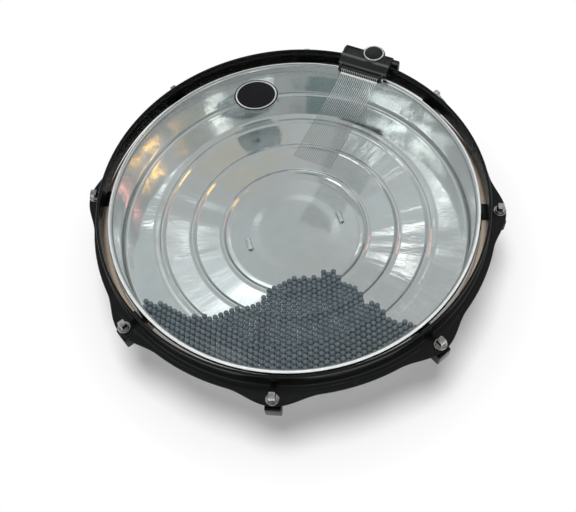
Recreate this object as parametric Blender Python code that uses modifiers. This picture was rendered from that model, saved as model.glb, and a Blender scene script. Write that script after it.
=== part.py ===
"""A shallow snare drum built on an upturned dustbin lid.

A galvanised lid is the shell and holds loose beads. A clear film is stretched over its rolled
edge by a black rim, eight tension rods and eight claws that hook under that edge. A clip on the
rim carries snare strands that lie on the film. The lid's strap handle is the foot it stands on.

Metres, +Z up. The origin is below the drum's axis, on the underside of the handle's crown.
"""
import math

import bmesh
import bpy
from mathutils import Matrix

OBJECT_NAME = "lid_snare_drum"

# Clearance that touching pieces keep
PLAY = 0.0003

# Pan: the upturned lid, with sizes on its inside
PAN_SHEET = 0.0009
PAN_WALL_RADIUS = 0.1725
PAN_WALL_DEPTH = 0.0430
PAN_EDGE_RADIUS = 0.0027
PAN_FOOT_FILLET = 0.0040
DISH_DEPTH = 0.0155
DISH_INNER_RADIUS = 0.0660
DISH_OUTER_RADIUS = 0.1420
RIDGE_COUNT = 3
RIDGE_MARGIN = 0.0080
RIDGE_WIDTH = 0.0070
RIDGE_HEIGHT = 0.0020
BOSS_RADIUS = 0.0390
BOSS_RISE = 0.0014
BOSS_SLOPE = 0.0030

# Handle: a steel strap whose ends come up through the pan and are clenched
HANDLE_DROP = 0.0245
HANDLE_SHEET = 0.0016
HANDLE_SPAN = 0.0470
HANDLE_CROWN = 0.0300
HANDLE_WIDTH = 0.0280
HANDLE_KNEE_RISE = 0.0038
TAB_WIDTH = 0.0140
TAB_LENGTH = 0.0042
TAB_SHOULDER = 0.0050

# Head: the film and the hoop that holds its edge
FILM_SHEET = 0.0003
FLESH_DROP = 0.0143
FLESH_WIDTH = 0.0086
FLESH_HEIGHT = 0.0107

# Rim: a pressed black hoop with ears
RIM_SHEET = 0.0025
RIM_GAP = 0.0042
RIM_HEIGHT = 0.0243
RIM_FLARE = 0.0078
LUG_COUNT = 8
FIRST_LUG = math.radians(22.5)
EAR_HALF_SPAN = 0.0420
EAR_LIP = 0.0062
ROD_OFFSET = 0.0120
SEAT_DEPTH = 0.0003
FOOT_HEIGHT = 0.0012
FOOT_PAD = 0.0030
FOOT_WIDTH = 0.0165
FOOT_LEG = 0.0035

# Tension rods, washers and nuts
ROD_RADIUS = 0.0027
ROD_TAIL = 0.0025
COLLAR_RADIUS = 0.0050
COLLAR_HEIGHT = 0.0016
DRIVE_SIZE = 0.0064
DRIVE_HEIGHT = 0.0060
WASHER_RADIUS = 0.0060
WASHER_SHEET = 0.0012
NUT_SIZE = 0.0098
NUT_HEIGHT = 0.0050

# Claws
CLAW_WIDTH = 0.0145
CLAW_DEPTH = 0.0146
CLAW_ARM = 0.0065
CLAW_BEVEL = 0.0010
CLAW_BORE_PLAY = 0.0006
TUNING_ROOM = 0.0055
FLESH_ROOM = 0.0015

# Rim clip: sizes along the drum's radius, along the rim and upwards
CLIP_ANGLE = math.radians(46.6)
CLIP_WIDTH = 0.0534
CLIP_NOSE = 0.0115
CLIP_BACK = 0.0085
CLIP_HEAD_ROOM = 0.0030
CLIP_FACE = 0.0060
CLIP_SHOULDER = 0.0073
CLIP_COVER = 0.0035
CLIP_GRASP = 0.0135
JAW_WIDTH = 0.0620
JAW_OFFSET = -0.0026
JAW_THICKNESS = 0.0065
JAW_DROP = 0.0025
BOSS_OFFSET = -0.0055
BOSS_REACH = 0.0040
CLIP_BOSS_RADIUS = 0.0120
CLIP_BOSS_RISE = 0.0012
CLIP_BOSS_ROOT = 0.0028
DISC_RADIUS = 0.0106
DISC_SHEET = 0.0008
CLAMP_HEIGHT = 0.0045
CLAMP_RADIUS = 0.0024
PAD_RADIUS = 0.0040
PAD_SHEET = 0.0018
KNOB_RADIUS = 0.0068
KNOB_LENGTH = 0.0080

# Snare bar, its pin and the strands
PIVOT_REACH = 0.0050
PIVOT_HEIGHT = 0.0062
PIN_RADIUS = 0.0011
PIN_TIP = 0.0020
CHEEK_WIDTH = 0.0016
CHEEK_RADIUS = 0.0032
BAR_LENGTH = 0.0440
BAR_HALF_DEPTH = 0.0026
BAR_ABOVE = 0.0022
BAR_BELOW = 0.0032
PLATE_SHEET = 0.0007
PLATE_DROP = 0.0023
PLATE_INSET = 0.0018
PLATE_LIP = 0.0020
STRAND_COUNT = 20
STRAND_PITCH = 0.00205
STRAND_RADIUS = 0.0005
STRAND_LENGTH = 0.1160
STRAND_SLOPE = 0.0120

# Beads in rows, with how far the pile reaches in from the pan's wall at angles about the axis
BEAD_DIAMETER = 0.0053
BEAD_PITCH = 0.0056
BEAD_DIMPLE = 0.0020
BEAD_CLEAR = 0.0039
PACK_DEGREES = 12
PACK_WARP = 0.0009
PACK_WAVE = 0.1800
PILE_LIFT = 0.0007
PILE_DEGREES = (-165, -164, -162, -157, -150, -147, -145, -139, -133, -128, -124, -121, -114, -97, -87,
                -75, -70, -69, -68, -67, -65, -63, -62)
PILE_REACHES = (0.000, 0.016, 0.021, 0.025, 0.030, 0.036, 0.048, 0.060, 0.073, 0.088, 0.100, 0.107, 0.114,
                0.118, 0.113, 0.115, 0.112, 0.094, 0.060, 0.035, 0.022, 0.010, 0.000)
LUMP_DEGREES = 3
LUMP_REACH = 0.0325
LUMP_PITCH = 0.0300

# Facets of round pieces
RING_STEPS = 56
RIM_STEPS = 96
SMALL_STEPS = 12
SEAT_STEPS = 16
DISC_STEPS = 28
REST_STEPS = 4

# Levels and radii that follow from the sizes above
PAN_FLOOR = HANDLE_DROP + PAN_SHEET
OUTER_FLOOR = PAN_FLOOR + DISH_DEPTH
EDGE_TOP = OUTER_FLOOR + PAN_WALL_DEPTH
EDGE_Z = EDGE_TOP - PAN_EDGE_RADIUS
EDGE_R = PAN_WALL_RADIUS + PAN_EDGE_RADIUS
PAN_OUTSIDE = PAN_WALL_RADIUS + PAN_SHEET
HEAD_Z = EDGE_TOP + PLAY + FILM_SHEET
SKIRT_IN = EDGE_R + PAN_EDGE_RADIUS + PLAY
SKIRT_OUT = SKIRT_IN + FILM_SHEET
FLESH_IN = SKIRT_OUT + PLAY
FLESH_OUT = FLESH_IN + FLESH_WIDTH
FLESH_TOP = HEAD_Z - FLESH_DROP
FLESH_BOTTOM = FLESH_TOP - FLESH_HEIGHT
RIM_IN = SKIRT_OUT + RIM_GAP
RIM_MID = RIM_IN + RIM_SHEET / 2
RIM_OUT = RIM_IN + RIM_SHEET
FLANGE_UNDER = FLESH_TOP + PLAY + FOOT_HEIGHT
FLANGE_MID = FLANGE_UNDER + RIM_SHEET / 2
FLANGE_TOP = FLANGE_UNDER + RIM_SHEET
RIM_TOP = FLANGE_UNDER + RIM_HEIGHT
ROD_R = RIM_MID + ROD_OFFSET
SEAT_Z = FLANGE_TOP - SEAT_DEPTH
WASHER_TOP = SEAT_Z + PLAY + WASHER_SHEET
ARM_TOP = FLESH_BOTTOM - FLESH_ROOM
CLAW_BOTTOM = ARM_TOP - CLAW_ARM
BLOCK_TOP = FLANGE_UNDER - TUNING_ROOM
CLIP_FRONT = RIM_IN - CLIP_NOSE
CLIP_REAR = RIM_OUT + CLIP_BACK
CLIP_ROOF = RIM_TOP + CLIP_COVER
CLIP_FOOT = RIM_TOP - CLIP_GRASP
PIVOT_X = CLIP_FRONT - PIVOT_REACH
PIVOT_Z = HEAD_Z + PIVOT_HEIGHT
CLAMP_Z = HEAD_Z + CLAMP_HEIGHT
BOSS_TOP = CLIP_ROOF + CLIP_BOSS_RISE
BOSS_X = RIM_OUT + BOSS_REACH
PILE_LIMIT = PAN_WALL_RADIUS - PAN_FOOT_FILLET


def clear_scene():
    for item in list(bpy.data.objects):
        bpy.data.objects.remove(item, do_unlink=True)


def make_collection(name):
    collection = bpy.data.collections.new(name)
    bpy.context.scene.collection.children.link(collection)
    return collection


def make_material(name, colour, roughness, metallic):
    material = bpy.data.materials.new(name)
    material.use_nodes = True
    shader = material.node_tree.nodes["Principled BSDF"]
    shader.inputs["Base Color"].default_value = (*colour, 1.0)
    shader.inputs["Roughness"].default_value = roughness
    shader.inputs["Metallic"].default_value = metallic
    return material


def add_object(name, mesh, collection):
    item = bpy.data.objects.new(name, mesh)
    collection.objects.link(item)
    return item


def shade(item, material, sharp_degrees=35):
    """Give a piece its material, and smooth shading up to an angle."""
    mesh = item.data
    mesh.materials.clear()
    mesh.materials.append(material)
    mesh.shade_smooth()
    mesh.set_sharp_from_angle(angle=math.radians(sharp_degrees))


def bake(item, name):
    """Return the evaluated mesh of an object and remove the object."""
    bpy.context.view_layer.update()
    graph = bpy.context.evaluated_depsgraph_get()
    mesh = bpy.data.meshes.new_from_object(item.evaluated_get(graph))
    mesh.name = name
    bpy.data.objects.remove(item, do_unlink=True)
    return mesh


def weld(mesh, transform=None):
    """Join doubled points, turn the faces outwards and apply a transform."""
    work = bmesh.new()
    work.from_mesh(mesh)
    bmesh.ops.remove_doubles(work, verts=work.verts, dist=1e-6)
    if transform is not None:
        bmesh.ops.transform(work, matrix=transform, verts=work.verts)
    bmesh.ops.recalc_face_normals(work, faces=work.faces)
    work.to_mesh(mesh)
    work.free()
    return mesh


def boolean(item, tool, operation):
    """Add a live Boolean to a piece and make the other object its hidden tool."""
    modifier = item.modifiers.new(tool.name, "BOOLEAN")
    modifier.operation = operation
    modifier.object = tool
    tool.hide_render = True
    tool.display_type = "WIRE"


def turned(name, outline, steps, collection, closed=True):
    """Turn an outline of (radius, height) points about Z."""
    mesh = bpy.data.meshes.new(name)
    edges = [(i, i + 1) for i in range(len(outline) - 1)]
    if closed:
        edges.append((len(outline) - 1, 0))
    mesh.from_pydata([(r, 0.0, z) for r, z in outline], edges, [])
    item = add_object(name, mesh, collection)
    screw = item.modifiers.new("turn", "SCREW")
    screw.axis = "Z"
    screw.steps = steps
    screw.render_steps = steps
    screw.use_merge_vertices = True
    screw.merge_threshold = 1e-5
    return item


def extruded(name, outline, width, collection):
    """Extrude an outline of (x, z) points along Y, half of the width each way."""
    curve = bpy.data.curves.new(name, "CURVE")
    curve.dimensions = "2D"
    curve.fill_mode = "BOTH"
    curve.extrude = width / 2
    spline = curve.splines.new("POLY")
    spline.points.add(len(outline) - 1)
    for point, (x, z) in zip(spline.points, outline):
        point.co = (x, z, 0.0, 1.0)
    spline.use_cyclic_u = True
    mesh = bake(add_object(name, curve, collection), name)
    return add_object(name, weld(mesh, Matrix.Rotation(math.pi / 2, 4, "X")), collection)


def block(name, low, high, collection):
    """A box between two corners."""
    mesh = bpy.data.meshes.new(name)
    work = bmesh.new()
    bmesh.ops.create_cube(work, size=1.0)
    size = [b - a for a, b in zip(low, high)]
    middle = [(a + b) / 2 for a, b in zip(low, high)]
    bmesh.ops.scale(work, vec=size, verts=work.verts)
    bmesh.ops.translate(work, vec=middle, verts=work.verts)
    work.to_mesh(mesh)
    work.free()
    return add_object(name, mesh, collection)


def rod_mesh(name, radius, low, high, collection, steps=SMALL_STEPS):
    """A plain round bar along Z between two heights."""
    mesh = bpy.data.meshes.new(name)
    work = bmesh.new()
    bmesh.ops.create_cone(work, cap_ends=True, segments=steps, radius1=radius, radius2=radius,
                          depth=high - low)
    bmesh.ops.translate(work, vec=(0, 0, (low + high) / 2), verts=work.verts)
    work.to_mesh(mesh)
    work.free()
    return add_object(name, mesh, collection)


def apply_turn(item, transform):
    """Apply a transform to an object's own mesh."""
    item.data.transform(transform)
    return item


def along_x(x, y, z):
    """Lay a bar made along Z on the X axis, and move it."""
    return Matrix.Translation((x, y, z)) @ Matrix.Rotation(math.pi / 2, 4, "Y")


def along_y(x, y, z):
    """Lay a bar made along Z on the Y axis, and move it."""
    return Matrix.Translation((x, y, z)) @ Matrix.Rotation(-math.pi / 2, 4, "X")


def combine(name, items, collection):
    """Put the meshes of several objects in one object, as separate bodies."""
    work = bmesh.new()
    for item in items:
        part = item.data.copy()
        part.transform(item.matrix_basis)
        work.from_mesh(part)
        bpy.data.meshes.remove(part)
        bpy.data.objects.remove(item, do_unlink=True)
    mesh = bpy.data.meshes.new(name)
    work.to_mesh(mesh)
    work.free()
    return add_object(name, mesh, collection)


def lug_angles():
    return [FIRST_LUG + 2 * math.pi * k / LUG_COUNT for k in range(LUG_COUNT)]


def arc(radius, x, z, start, stop, count):
    """Points on an arc, by angles in degrees, both ends included."""
    points = []
    for k in range(count):
        angle = math.radians(start + (stop - start) * k / (count - 1))
        points.append((x + radius * math.cos(angle), z + radius * math.sin(angle)))
    return points


def ridge_radii():
    """Radii of the pressed rings, evenly spaced on the dish's slope."""
    first = DISH_INNER_RADIUS + RIDGE_MARGIN
    step = (DISH_OUTER_RADIUS - RIDGE_MARGIN - first) / (RIDGE_COUNT - 1)
    return [first + step * k for k in range(RIDGE_COUNT)]


def floor_height(radius):
    """Height of the pan's inside at a radius: dish, ridges, boss and the fillet at the wall."""
    slope = (radius - DISH_INNER_RADIUS) / (DISH_OUTER_RADIUS - DISH_INNER_RADIUS)
    height = PAN_FLOOR + DISH_DEPTH * min(max(slope, 0.0), 1.0)
    for ridge in ridge_radii():
        height += RIDGE_HEIGHT * max(0.0, 1.0 - abs(radius - ridge) / (RIDGE_WIDTH / 2))
    boss = (BOSS_RADIUS + BOSS_SLOPE - radius) / BOSS_SLOPE
    height += BOSS_RISE * min(max(boss, 0.0), 1.0)
    inside = radius - (PAN_WALL_RADIUS - PAN_FOOT_FILLET)
    if inside > 0.0:
        height += PAN_FOOT_FILLET - math.sqrt(max(PAN_FOOT_FILLET**2 - inside**2, 0.0))
    return height


def floor_radii():
    """Radii at which the pan's floor changes slope, from the axis out to the fillet."""
    radii = [0.0, BOSS_RADIUS, BOSS_RADIUS + BOSS_SLOPE, DISH_INNER_RADIUS, DISH_OUTER_RADIUS]
    for ridge in ridge_radii():
        radii += [ridge - RIDGE_WIDTH / 2, ridge, ridge + RIDGE_WIDTH / 2]
    return sorted(radii)


def build_pan(parts, cutters, material):
    inside = [(r, floor_height(r)) for r in floor_radii()]
    foot_r = PAN_WALL_RADIUS - PAN_FOOT_FILLET
    foot_z = OUTER_FLOOR + PAN_FOOT_FILLET
    inside += arc(PAN_FOOT_FILLET, foot_r, foot_z, -90, 0, 3)
    under_angle = -90 - math.degrees(math.asin(1 - PAN_SHEET / PAN_EDGE_RADIUS))
    edge = arc(PAN_EDGE_RADIUS, EDGE_R, EDGE_Z, 180, under_angle, 8)
    outside = arc(PAN_FOOT_FILLET + PAN_SHEET, foot_r, foot_z, 0, -90, 3)
    outside += [(r, floor_height(r) - PAN_SHEET) for r in reversed(floor_radii())]
    pan = turned("pan", inside + edge + outside, RING_STEPS, parts, closed=False)
    slots = []
    for side in (-1, 1):
        x = side * HANDLE_SPAN
        half_gap = HANDLE_SHEET / 2 + PLAY
        half_width = TAB_WIDTH / 2 + PLAY
        low = (x - half_gap, -half_width, HANDLE_DROP - PAN_SHEET)
        high = (x + half_gap, half_width, PAN_FLOOR + PAN_SHEET)
        slots.append(block("slot", low, high, cutters))
    boolean(pan, combine("handle_slots", slots, cutters), "DIFFERENCE")
    shade(pan, material)


def build_handle(parts, material):
    """A strap that follows a path in the XZ plane, wide at the crown and narrow at its tabs."""
    half = HANDLE_SHEET / 2
    tab_z = PAN_FLOOR + PLAY + half
    shoulder_z = HANDLE_DROP - TAB_SHOULDER
    knee = (HANDLE_SPAN - HANDLE_CROWN) / 2
    path = [(0.0, half, HANDLE_WIDTH), (HANDLE_CROWN, half, HANDLE_WIDTH)]
    path.append((HANDLE_CROWN + knee, half + HANDLE_KNEE_RISE, HANDLE_WIDTH))
    path.append((HANDLE_SPAN - half, shoulder_z - TAB_SHOULDER, HANDLE_WIDTH))
    path.append((HANDLE_SPAN, shoulder_z, HANDLE_WIDTH))
    path.append((HANDLE_SPAN, HANDLE_DROP - PLAY - half, TAB_WIDTH))
    path.append((HANDLE_SPAN, tab_z, TAB_WIDTH))
    path.append((HANDLE_SPAN + TAB_LENGTH, tab_z, TAB_WIDTH))
    path = [(-x, z, w) for x, z, w in reversed(path[1:])] + path
    work = bmesh.new()
    rows = [[work.verts.new((x, side * w / 2, z)) for side in (-1, 1)] for x, z, w in path]
    for near, far in zip(rows, rows[1:]):
        work.faces.new((near[0], far[0], far[1], near[1]))
    mesh = bpy.data.meshes.new("handle")
    work.to_mesh(mesh)
    work.free()
    handle = add_object("handle", mesh, parts)
    wall = handle.modifiers.new("strap", "SOLIDIFY")
    wall.thickness = HANDLE_SHEET
    wall.offset = 0.0
    wall.use_even_offset = True
    shade(handle, material)


def build_head(parts, film_material, hoop_material):
    outer = PAN_EDGE_RADIUS + PLAY + FILM_SHEET
    inner = PAN_EDGE_RADIUS + PLAY
    outline = [(0.0, HEAD_Z)] + arc(outer, EDGE_R, EDGE_Z, 90, 0, 4)
    outline += [(SKIRT_OUT, FLESH_BOTTOM), (SKIRT_IN, FLESH_BOTTOM)]
    outline += arc(inner, EDGE_R, EDGE_Z, 0, 90, 4) + [(0.0, EDGE_TOP + PLAY)]
    shade(turned("head_film", outline, RING_STEPS, parts, closed=False), film_material)
    ring = [(FLESH_IN, FLESH_TOP), (FLESH_OUT, FLESH_TOP)]
    ring += [(FLESH_OUT, FLESH_BOTTOM), (FLESH_IN, FLESH_BOTTOM)]
    shade(turned("flesh_hoop", ring, RING_STEPS, parts), hoop_material)


def rim_outline():
    """Section of the rim between ears: a wall with a round top that flares into a flange."""
    half = RIM_SHEET / 2
    flare_z = FLANGE_MID + RIM_FLARE
    top = arc(half, RIM_MID, RIM_TOP - half, 90, 0, 3)
    outer = arc(RIM_FLARE - half, RIM_MID + RIM_FLARE, flare_z, 180, 270, 5)
    edge = [(RIM_MID + RIM_FLARE + half, FLANGE_MID)]
    inner = arc(RIM_FLARE + half, RIM_MID + RIM_FLARE, flare_z, 270, 180, 5)
    return top + outer + edge + inner + [(RIM_IN, RIM_TOP - half)]


def ear_swell(angle):
    """How far an ear is drawn out at an angle, from 0 between the lugs to 1 at a rod."""
    step = 2 * math.pi / LUG_COUNT
    off = abs((angle - FIRST_LUG + step / 2) % step - step / 2) * ROD_R / EAR_HALF_SPAN
    return math.cos(min(off, 1.0) * math.pi / 2) ** 2


def draw_out_ears(mesh):
    """Move the flange outwards at each lug. The wall, up to its outer face, stays."""
    stretch = (ROD_R + EAR_LIP - RIM_OUT) / RIM_FLARE - 1.0
    for point in mesh.vertices:
        radius = math.hypot(point.co.x, point.co.y)
        beyond = radius - RIM_OUT
        if beyond > 0.0:
            swell = ear_swell(math.atan2(point.co.y, point.co.x))
            stretched = RIM_OUT + beyond * (1.0 + swell * stretch)
            point.co.x *= stretched / radius
            point.co.y *= stretched / radius


def foot_outline():
    """Section of a foot: a pad on the flesh hoop and a leg that runs up into the flare."""
    low = FLESH_TOP + PLAY
    pad_top = low + FOOT_PAD
    leg_in = RIM_OUT
    leg_out = RIM_OUT + FOOT_LEG
    leg_top = FLANGE_MID + RIM_FLARE / 4
    pad_in = FLESH_IN + PLAY
    return [(pad_in, low), (leg_out, low), (leg_out, leg_top), (leg_in, leg_top),
            (leg_in, pad_top), (pad_in, pad_top)]


def rim_foot(cutters):
    return extruded("foot", foot_outline(), FOOT_WIDTH, cutters)


def washer_seat(cutters):
    tool = rod_mesh("seat", WASHER_RADIUS + PLAY, SEAT_Z, RIM_TOP, cutters, SEAT_STEPS)
    return apply_turn(tool, Matrix.Translation((ROD_R, 0, 0)))


def rim_bore(cutters):
    tool = rod_mesh("bore", ROD_RADIUS + PLAY, FLESH_TOP, RIM_TOP, cutters)
    return apply_turn(tool, Matrix.Translation((ROD_R, 0, 0)))


def ring_of_tools(name, maker, cutters):
    """One tool with a copy of a shape at each lug."""
    copies = []
    for angle in lug_angles():
        copies.append(apply_turn(maker(cutters), Matrix.Rotation(angle, 4, "Z")))
    return combine(name, copies, cutters)


def build_rim(parts, cutters, material):
    mesh = bake(turned("rim_blank", rim_outline(), RIM_STEPS, parts), "rim")
    draw_out_ears(mesh)
    rim = add_object("rim", mesh, parts)
    boolean(rim, ring_of_tools("rim_feet", rim_foot, cutters), "UNION")
    boolean(rim, ring_of_tools("washer_seats", washer_seat, cutters), "DIFFERENCE")
    boolean(rim, ring_of_tools("rod_bores", rim_bore, cutters), "DIFFERENCE")
    shade(rim, material)


def claw_shape(parts, cutters):
    """A block round the rod with an arm that hooks up under the pan's edge, X from the rod."""
    hook_in = PAN_OUTSIDE + PLAY - ROD_R
    hook_out = EDGE_R + PAN_EDGE_RADIUS - PLAY - ROD_R
    hook_top = EDGE_Z - PAN_EDGE_RADIUS - PLAY
    half = CLAW_DEPTH / 2
    outline = [(hook_in, CLAW_BOTTOM), (half, CLAW_BOTTOM), (half, BLOCK_TOP), (-half, BLOCK_TOP),
               (-half, ARM_TOP), (hook_out, ARM_TOP), (hook_out, hook_top), (hook_in, hook_top)]
    claw = extruded("claw_blank", outline, CLAW_WIDTH, parts)
    soften = claw.modifiers.new("edges", "BEVEL")
    soften.width = CLAW_BEVEL
    soften.segments = 1
    soften.limit_method = "ANGLE"
    below = CLAW_BOTTOM - CLAW_ARM
    bore = rod_mesh("claw_bore", ROD_RADIUS + CLAW_BORE_PLAY, below, BLOCK_TOP + CLAW_ARM, cutters)
    pocket = NUT_SIZE / 2 + PLAY
    pocket_top = CLAW_BOTTOM + NUT_HEIGHT + 2 * PLAY
    nut_room = block("nut_pocket", (-pocket, -pocket, below), (pocket, pocket, pocket_top), cutters)
    boolean(claw, bore, "DIFFERENCE")
    boolean(claw, nut_room, "DIFFERENCE")
    mesh = bake(claw, "claw")
    bpy.data.objects.remove(bore, do_unlink=True)
    bpy.data.objects.remove(nut_room, do_unlink=True)
    return mesh


def tension_rod_shape(parts):
    """A shank with a round collar and a square drive head."""
    collar_low = WASHER_TOP + PLAY
    collar_top = collar_low + COLLAR_HEIGHT
    tail = CLAW_BOTTOM - ROD_TAIL
    outline = [(0.0, collar_top), (COLLAR_RADIUS, collar_top), (COLLAR_RADIUS, collar_low),
               (ROD_RADIUS, collar_low), (ROD_RADIUS, tail), (0.0, tail)]
    rod = turned("rod_blank", outline, SMALL_STEPS, parts, closed=False)
    half = DRIVE_SIZE / 2
    drive = block("drive", (-half, -half, collar_low + COLLAR_HEIGHT / 2),
                  (half, half, collar_top + DRIVE_HEIGHT), parts)
    boolean(rod, drive, "UNION")
    mesh = bake(rod, "tension_rod")
    bpy.data.objects.remove(drive, do_unlink=True)
    return mesh


def washer_shape(parts):
    low = SEAT_Z + PLAY
    bore = ROD_RADIUS + PLAY
    outline = [(bore, WASHER_TOP), (WASHER_RADIUS, WASHER_TOP), (WASHER_RADIUS, low), (bore, low)]
    return bake(turned("washer_blank", outline, SMALL_STEPS, parts), "rod_washer")


def nut_shape(parts, cutters):
    half = NUT_SIZE / 2
    low = CLAW_BOTTOM + PLAY
    nut = block("nut_blank", (-half, -half, low), (half, half, low + NUT_HEIGHT), parts)
    bore = rod_mesh("nut_bore", ROD_RADIUS + PLAY, low - NUT_HEIGHT, low + 2 * NUT_HEIGHT, cutters)
    boolean(nut, bore, "DIFFERENCE")
    mesh = bake(nut, "rod_nut")
    bpy.data.objects.remove(bore, do_unlink=True)
    return mesh


def build_lugs(parts, cutters, black, chrome, steel):
    """At each lug an empty stands on the rod's axis and carries the claw, rod, washer and nut."""
    shapes = (
        ("claw", claw_shape(parts, cutters), black),
        ("tension_rod", tension_rod_shape(parts), chrome),
        ("rod_washer", washer_shape(parts), chrome),
        ("rod_nut", nut_shape(parts, cutters), steel),
    )
    for number, angle in enumerate(lug_angles(), start=1):
        lug = add_object(f"lug_{number}", None, parts)
        lug.location = (ROD_R * math.cos(angle), ROD_R * math.sin(angle), 0.0)
        lug.rotation_euler = (0.0, 0.0, angle)
        for kind, mesh, material in shapes:
            piece = add_object(f"{kind}_{number}", mesh, parts)
            piece.parent = lug
            shade(piece, material)


def clip_outline():
    """Section of the clip: a nose over the film, a roof over the rim and a jaw behind it."""
    low = HEAD_Z + CLIP_HEAD_ROOM
    chamfer = CLIP_COVER / 2
    return [(CLIP_FRONT, low), (RIM_MID, low), (RIM_MID, CLIP_FOOT), (CLIP_REAR, CLIP_FOOT),
            (CLIP_REAR, CLIP_ROOF - chamfer), (CLIP_REAR - chamfer, CLIP_ROOF),
            (CLIP_FRONT + CLIP_SHOULDER, CLIP_ROOF), (CLIP_FRONT, low + CLIP_FACE)]


def clip_additions(cutters):
    """What joins the clip's body: the wide rear jaw, the round boss and the two pin cheeks."""
    jaw_low = (CLIP_REAR - JAW_THICKNESS, JAW_OFFSET - JAW_WIDTH / 2, CLIP_FOOT)
    jaw_high = (CLIP_REAR, JAW_OFFSET + JAW_WIDTH / 2, CLIP_ROOF - JAW_DROP)
    jaw = block("clip_jaw", jaw_low, jaw_high, cutters)
    root = CLIP_ROOF - CLIP_BOSS_ROOT
    boss = rod_mesh("clip_boss", CLIP_BOSS_RADIUS, root, BOSS_TOP, cutters, DISC_STEPS)
    apply_turn(boss, Matrix.Translation((BOSS_X, BOSS_OFFSET, 0)))
    cheeks = []
    for side in (-1, 1):
        middle = side * (BAR_LENGTH / 2 + PLAY + CHEEK_WIDTH / 2)
        low = (PIVOT_X - CHEEK_RADIUS, middle - CHEEK_WIDTH / 2, PIVOT_Z - CHEEK_RADIUS)
        high = (CLIP_FRONT + CLIP_NOSE / 4, middle + CHEEK_WIDTH / 2, PIVOT_Z + CHEEK_RADIUS)
        cheeks.append(block("cheek", low, high, cutters))
    return jaw, boss, combine("clip_cheeks", cheeks, cutters)


def clip_cuts(cutters):
    """What is cut from the clip's body: the rim's slot and the room for pin, screw and pad."""
    slot = [(RIM_IN - PLAY, RIM_TOP + PLAY), (RIM_OUT + PLAY, RIM_TOP + PLAY)]
    slot += [(RIM_OUT + PLAY, FLANGE_UNDER), (RIM_IN - PLAY, FLANGE_UNDER)]
    rim_slot = turned("rim_slot", slot, RIM_STEPS, cutters)
    pin_bore = rod_mesh("pin_bore", PIN_RADIUS + PLAY, -CLIP_WIDTH, CLIP_WIDTH, cutters)
    apply_turn(pin_bore, along_y(PIVOT_X, 0, PIVOT_Z))
    screw_bore = rod_mesh("screw_bore", CLAMP_RADIUS + PLAY, 0, CLIP_BACK * 2, cutters)
    pad_depth = RIM_SHEET / 2 + PAD_SHEET + 2 * PLAY
    pad_room = rod_mesh("pad_room", PAD_RADIUS + PLAY, 0, pad_depth, cutters)
    for tool in (screw_bore, pad_room):
        apply_turn(tool, along_x(RIM_MID, JAW_OFFSET, CLAMP_Z))
    return rim_slot, pin_bore, screw_bore, pad_room


def build_clip(parts, cutters, frame, black, gloss, chrome):
    body = extruded("clip_body", clip_outline(), CLIP_WIDTH, parts)
    body.parent = frame
    for tool in clip_additions(cutters):
        tool.parent = frame
        boolean(body, tool, "UNION")
    for tool in clip_cuts(cutters):
        tool.parent = frame
        boolean(body, tool, "DIFFERENCE")
    shade(body, black)

    disc_low = BOSS_TOP + PLAY
    disc = rod_mesh("clip_disc", DISC_RADIUS, disc_low, disc_low + DISC_SHEET, parts, DISC_STEPS)
    apply_turn(disc, Matrix.Translation((BOSS_X, BOSS_OFFSET, 0)))
    disc.parent = frame
    shade(disc, gloss)

    pin_half = BAR_LENGTH / 2 + PLAY + CHEEK_WIDTH + PIN_TIP
    pin = rod_mesh("pivot_pin", PIN_RADIUS, -pin_half, pin_half, parts)
    apply_turn(pin, along_y(PIVOT_X, 0, PIVOT_Z))
    pin.parent = frame
    shade(pin, chrome)


def build_clamp(parts, frame, black, chrome):
    """Pad, screw and knob on one axis, with the empty of the screw on it."""
    axis = add_object("clamp_axis", None, parts)
    axis.parent = frame
    axis.location = (0.0, JAW_OFFSET, CLAMP_Z)
    axis.rotation_euler = (0.0, math.pi / 2, 0.0)
    pad_face = RIM_OUT + PLAY
    screw_tip = pad_face + PAD_SHEET + PLAY
    knob_face = CLIP_REAR + PLAY
    screw_end = knob_face + KNOB_LENGTH / 2
    pieces = (
        (rod_mesh("clamp_pad", PAD_RADIUS, pad_face, pad_face + PAD_SHEET, parts), black),
        (rod_mesh("clamp_screw", CLAMP_RADIUS, screw_tip, screw_end, parts), chrome),
    )
    knob_end = knob_face + KNOB_LENGTH
    socket_r = CLAMP_RADIUS + PLAY
    socket_end = screw_end + PLAY
    outline = [(0.0, knob_end), (KNOB_RADIUS, knob_end), (KNOB_RADIUS, knob_face),
               (socket_r, knob_face), (socket_r, socket_end), (0.0, socket_end)]
    knob = turned("clamp_knob", outline, SMALL_STEPS, parts, closed=False)
    for piece, material in pieces + ((knob, black),):
        piece.parent = axis
        shade(piece, material)


def build_strands(front, cutters):
    """Strands that leave the plate's front edge, slope down to the film and lie along it."""
    low = PLAY + STRAND_RADIUS - PIVOT_HEIGHT
    route = ((front + PLATE_LIP / 2, -PLATE_DROP), (front - PLATE_LIP / 2, -PLATE_DROP),
             (front - STRAND_SLOPE, low), (front - STRAND_LENGTH, low))
    curve = bpy.data.curves.new("strands", "CURVE")
    curve.dimensions = "3D"
    curve.bevel_depth = STRAND_RADIUS
    curve.bevel_resolution = 1
    curve.use_fill_caps = True
    for k in range(STRAND_COUNT):
        y = (k - (STRAND_COUNT - 1) / 2) * STRAND_PITCH
        spline = curve.splines.new("POLY")
        spline.points.add(len(route) - 1)
        for point, (x, z) in zip(spline.points, route):
            point.co = (x, y, z, 1.0)
    mesh = weld(bake(add_object("strands", curve, cutters), "strands"))
    return add_object("strands", mesh, cutters)


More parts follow.
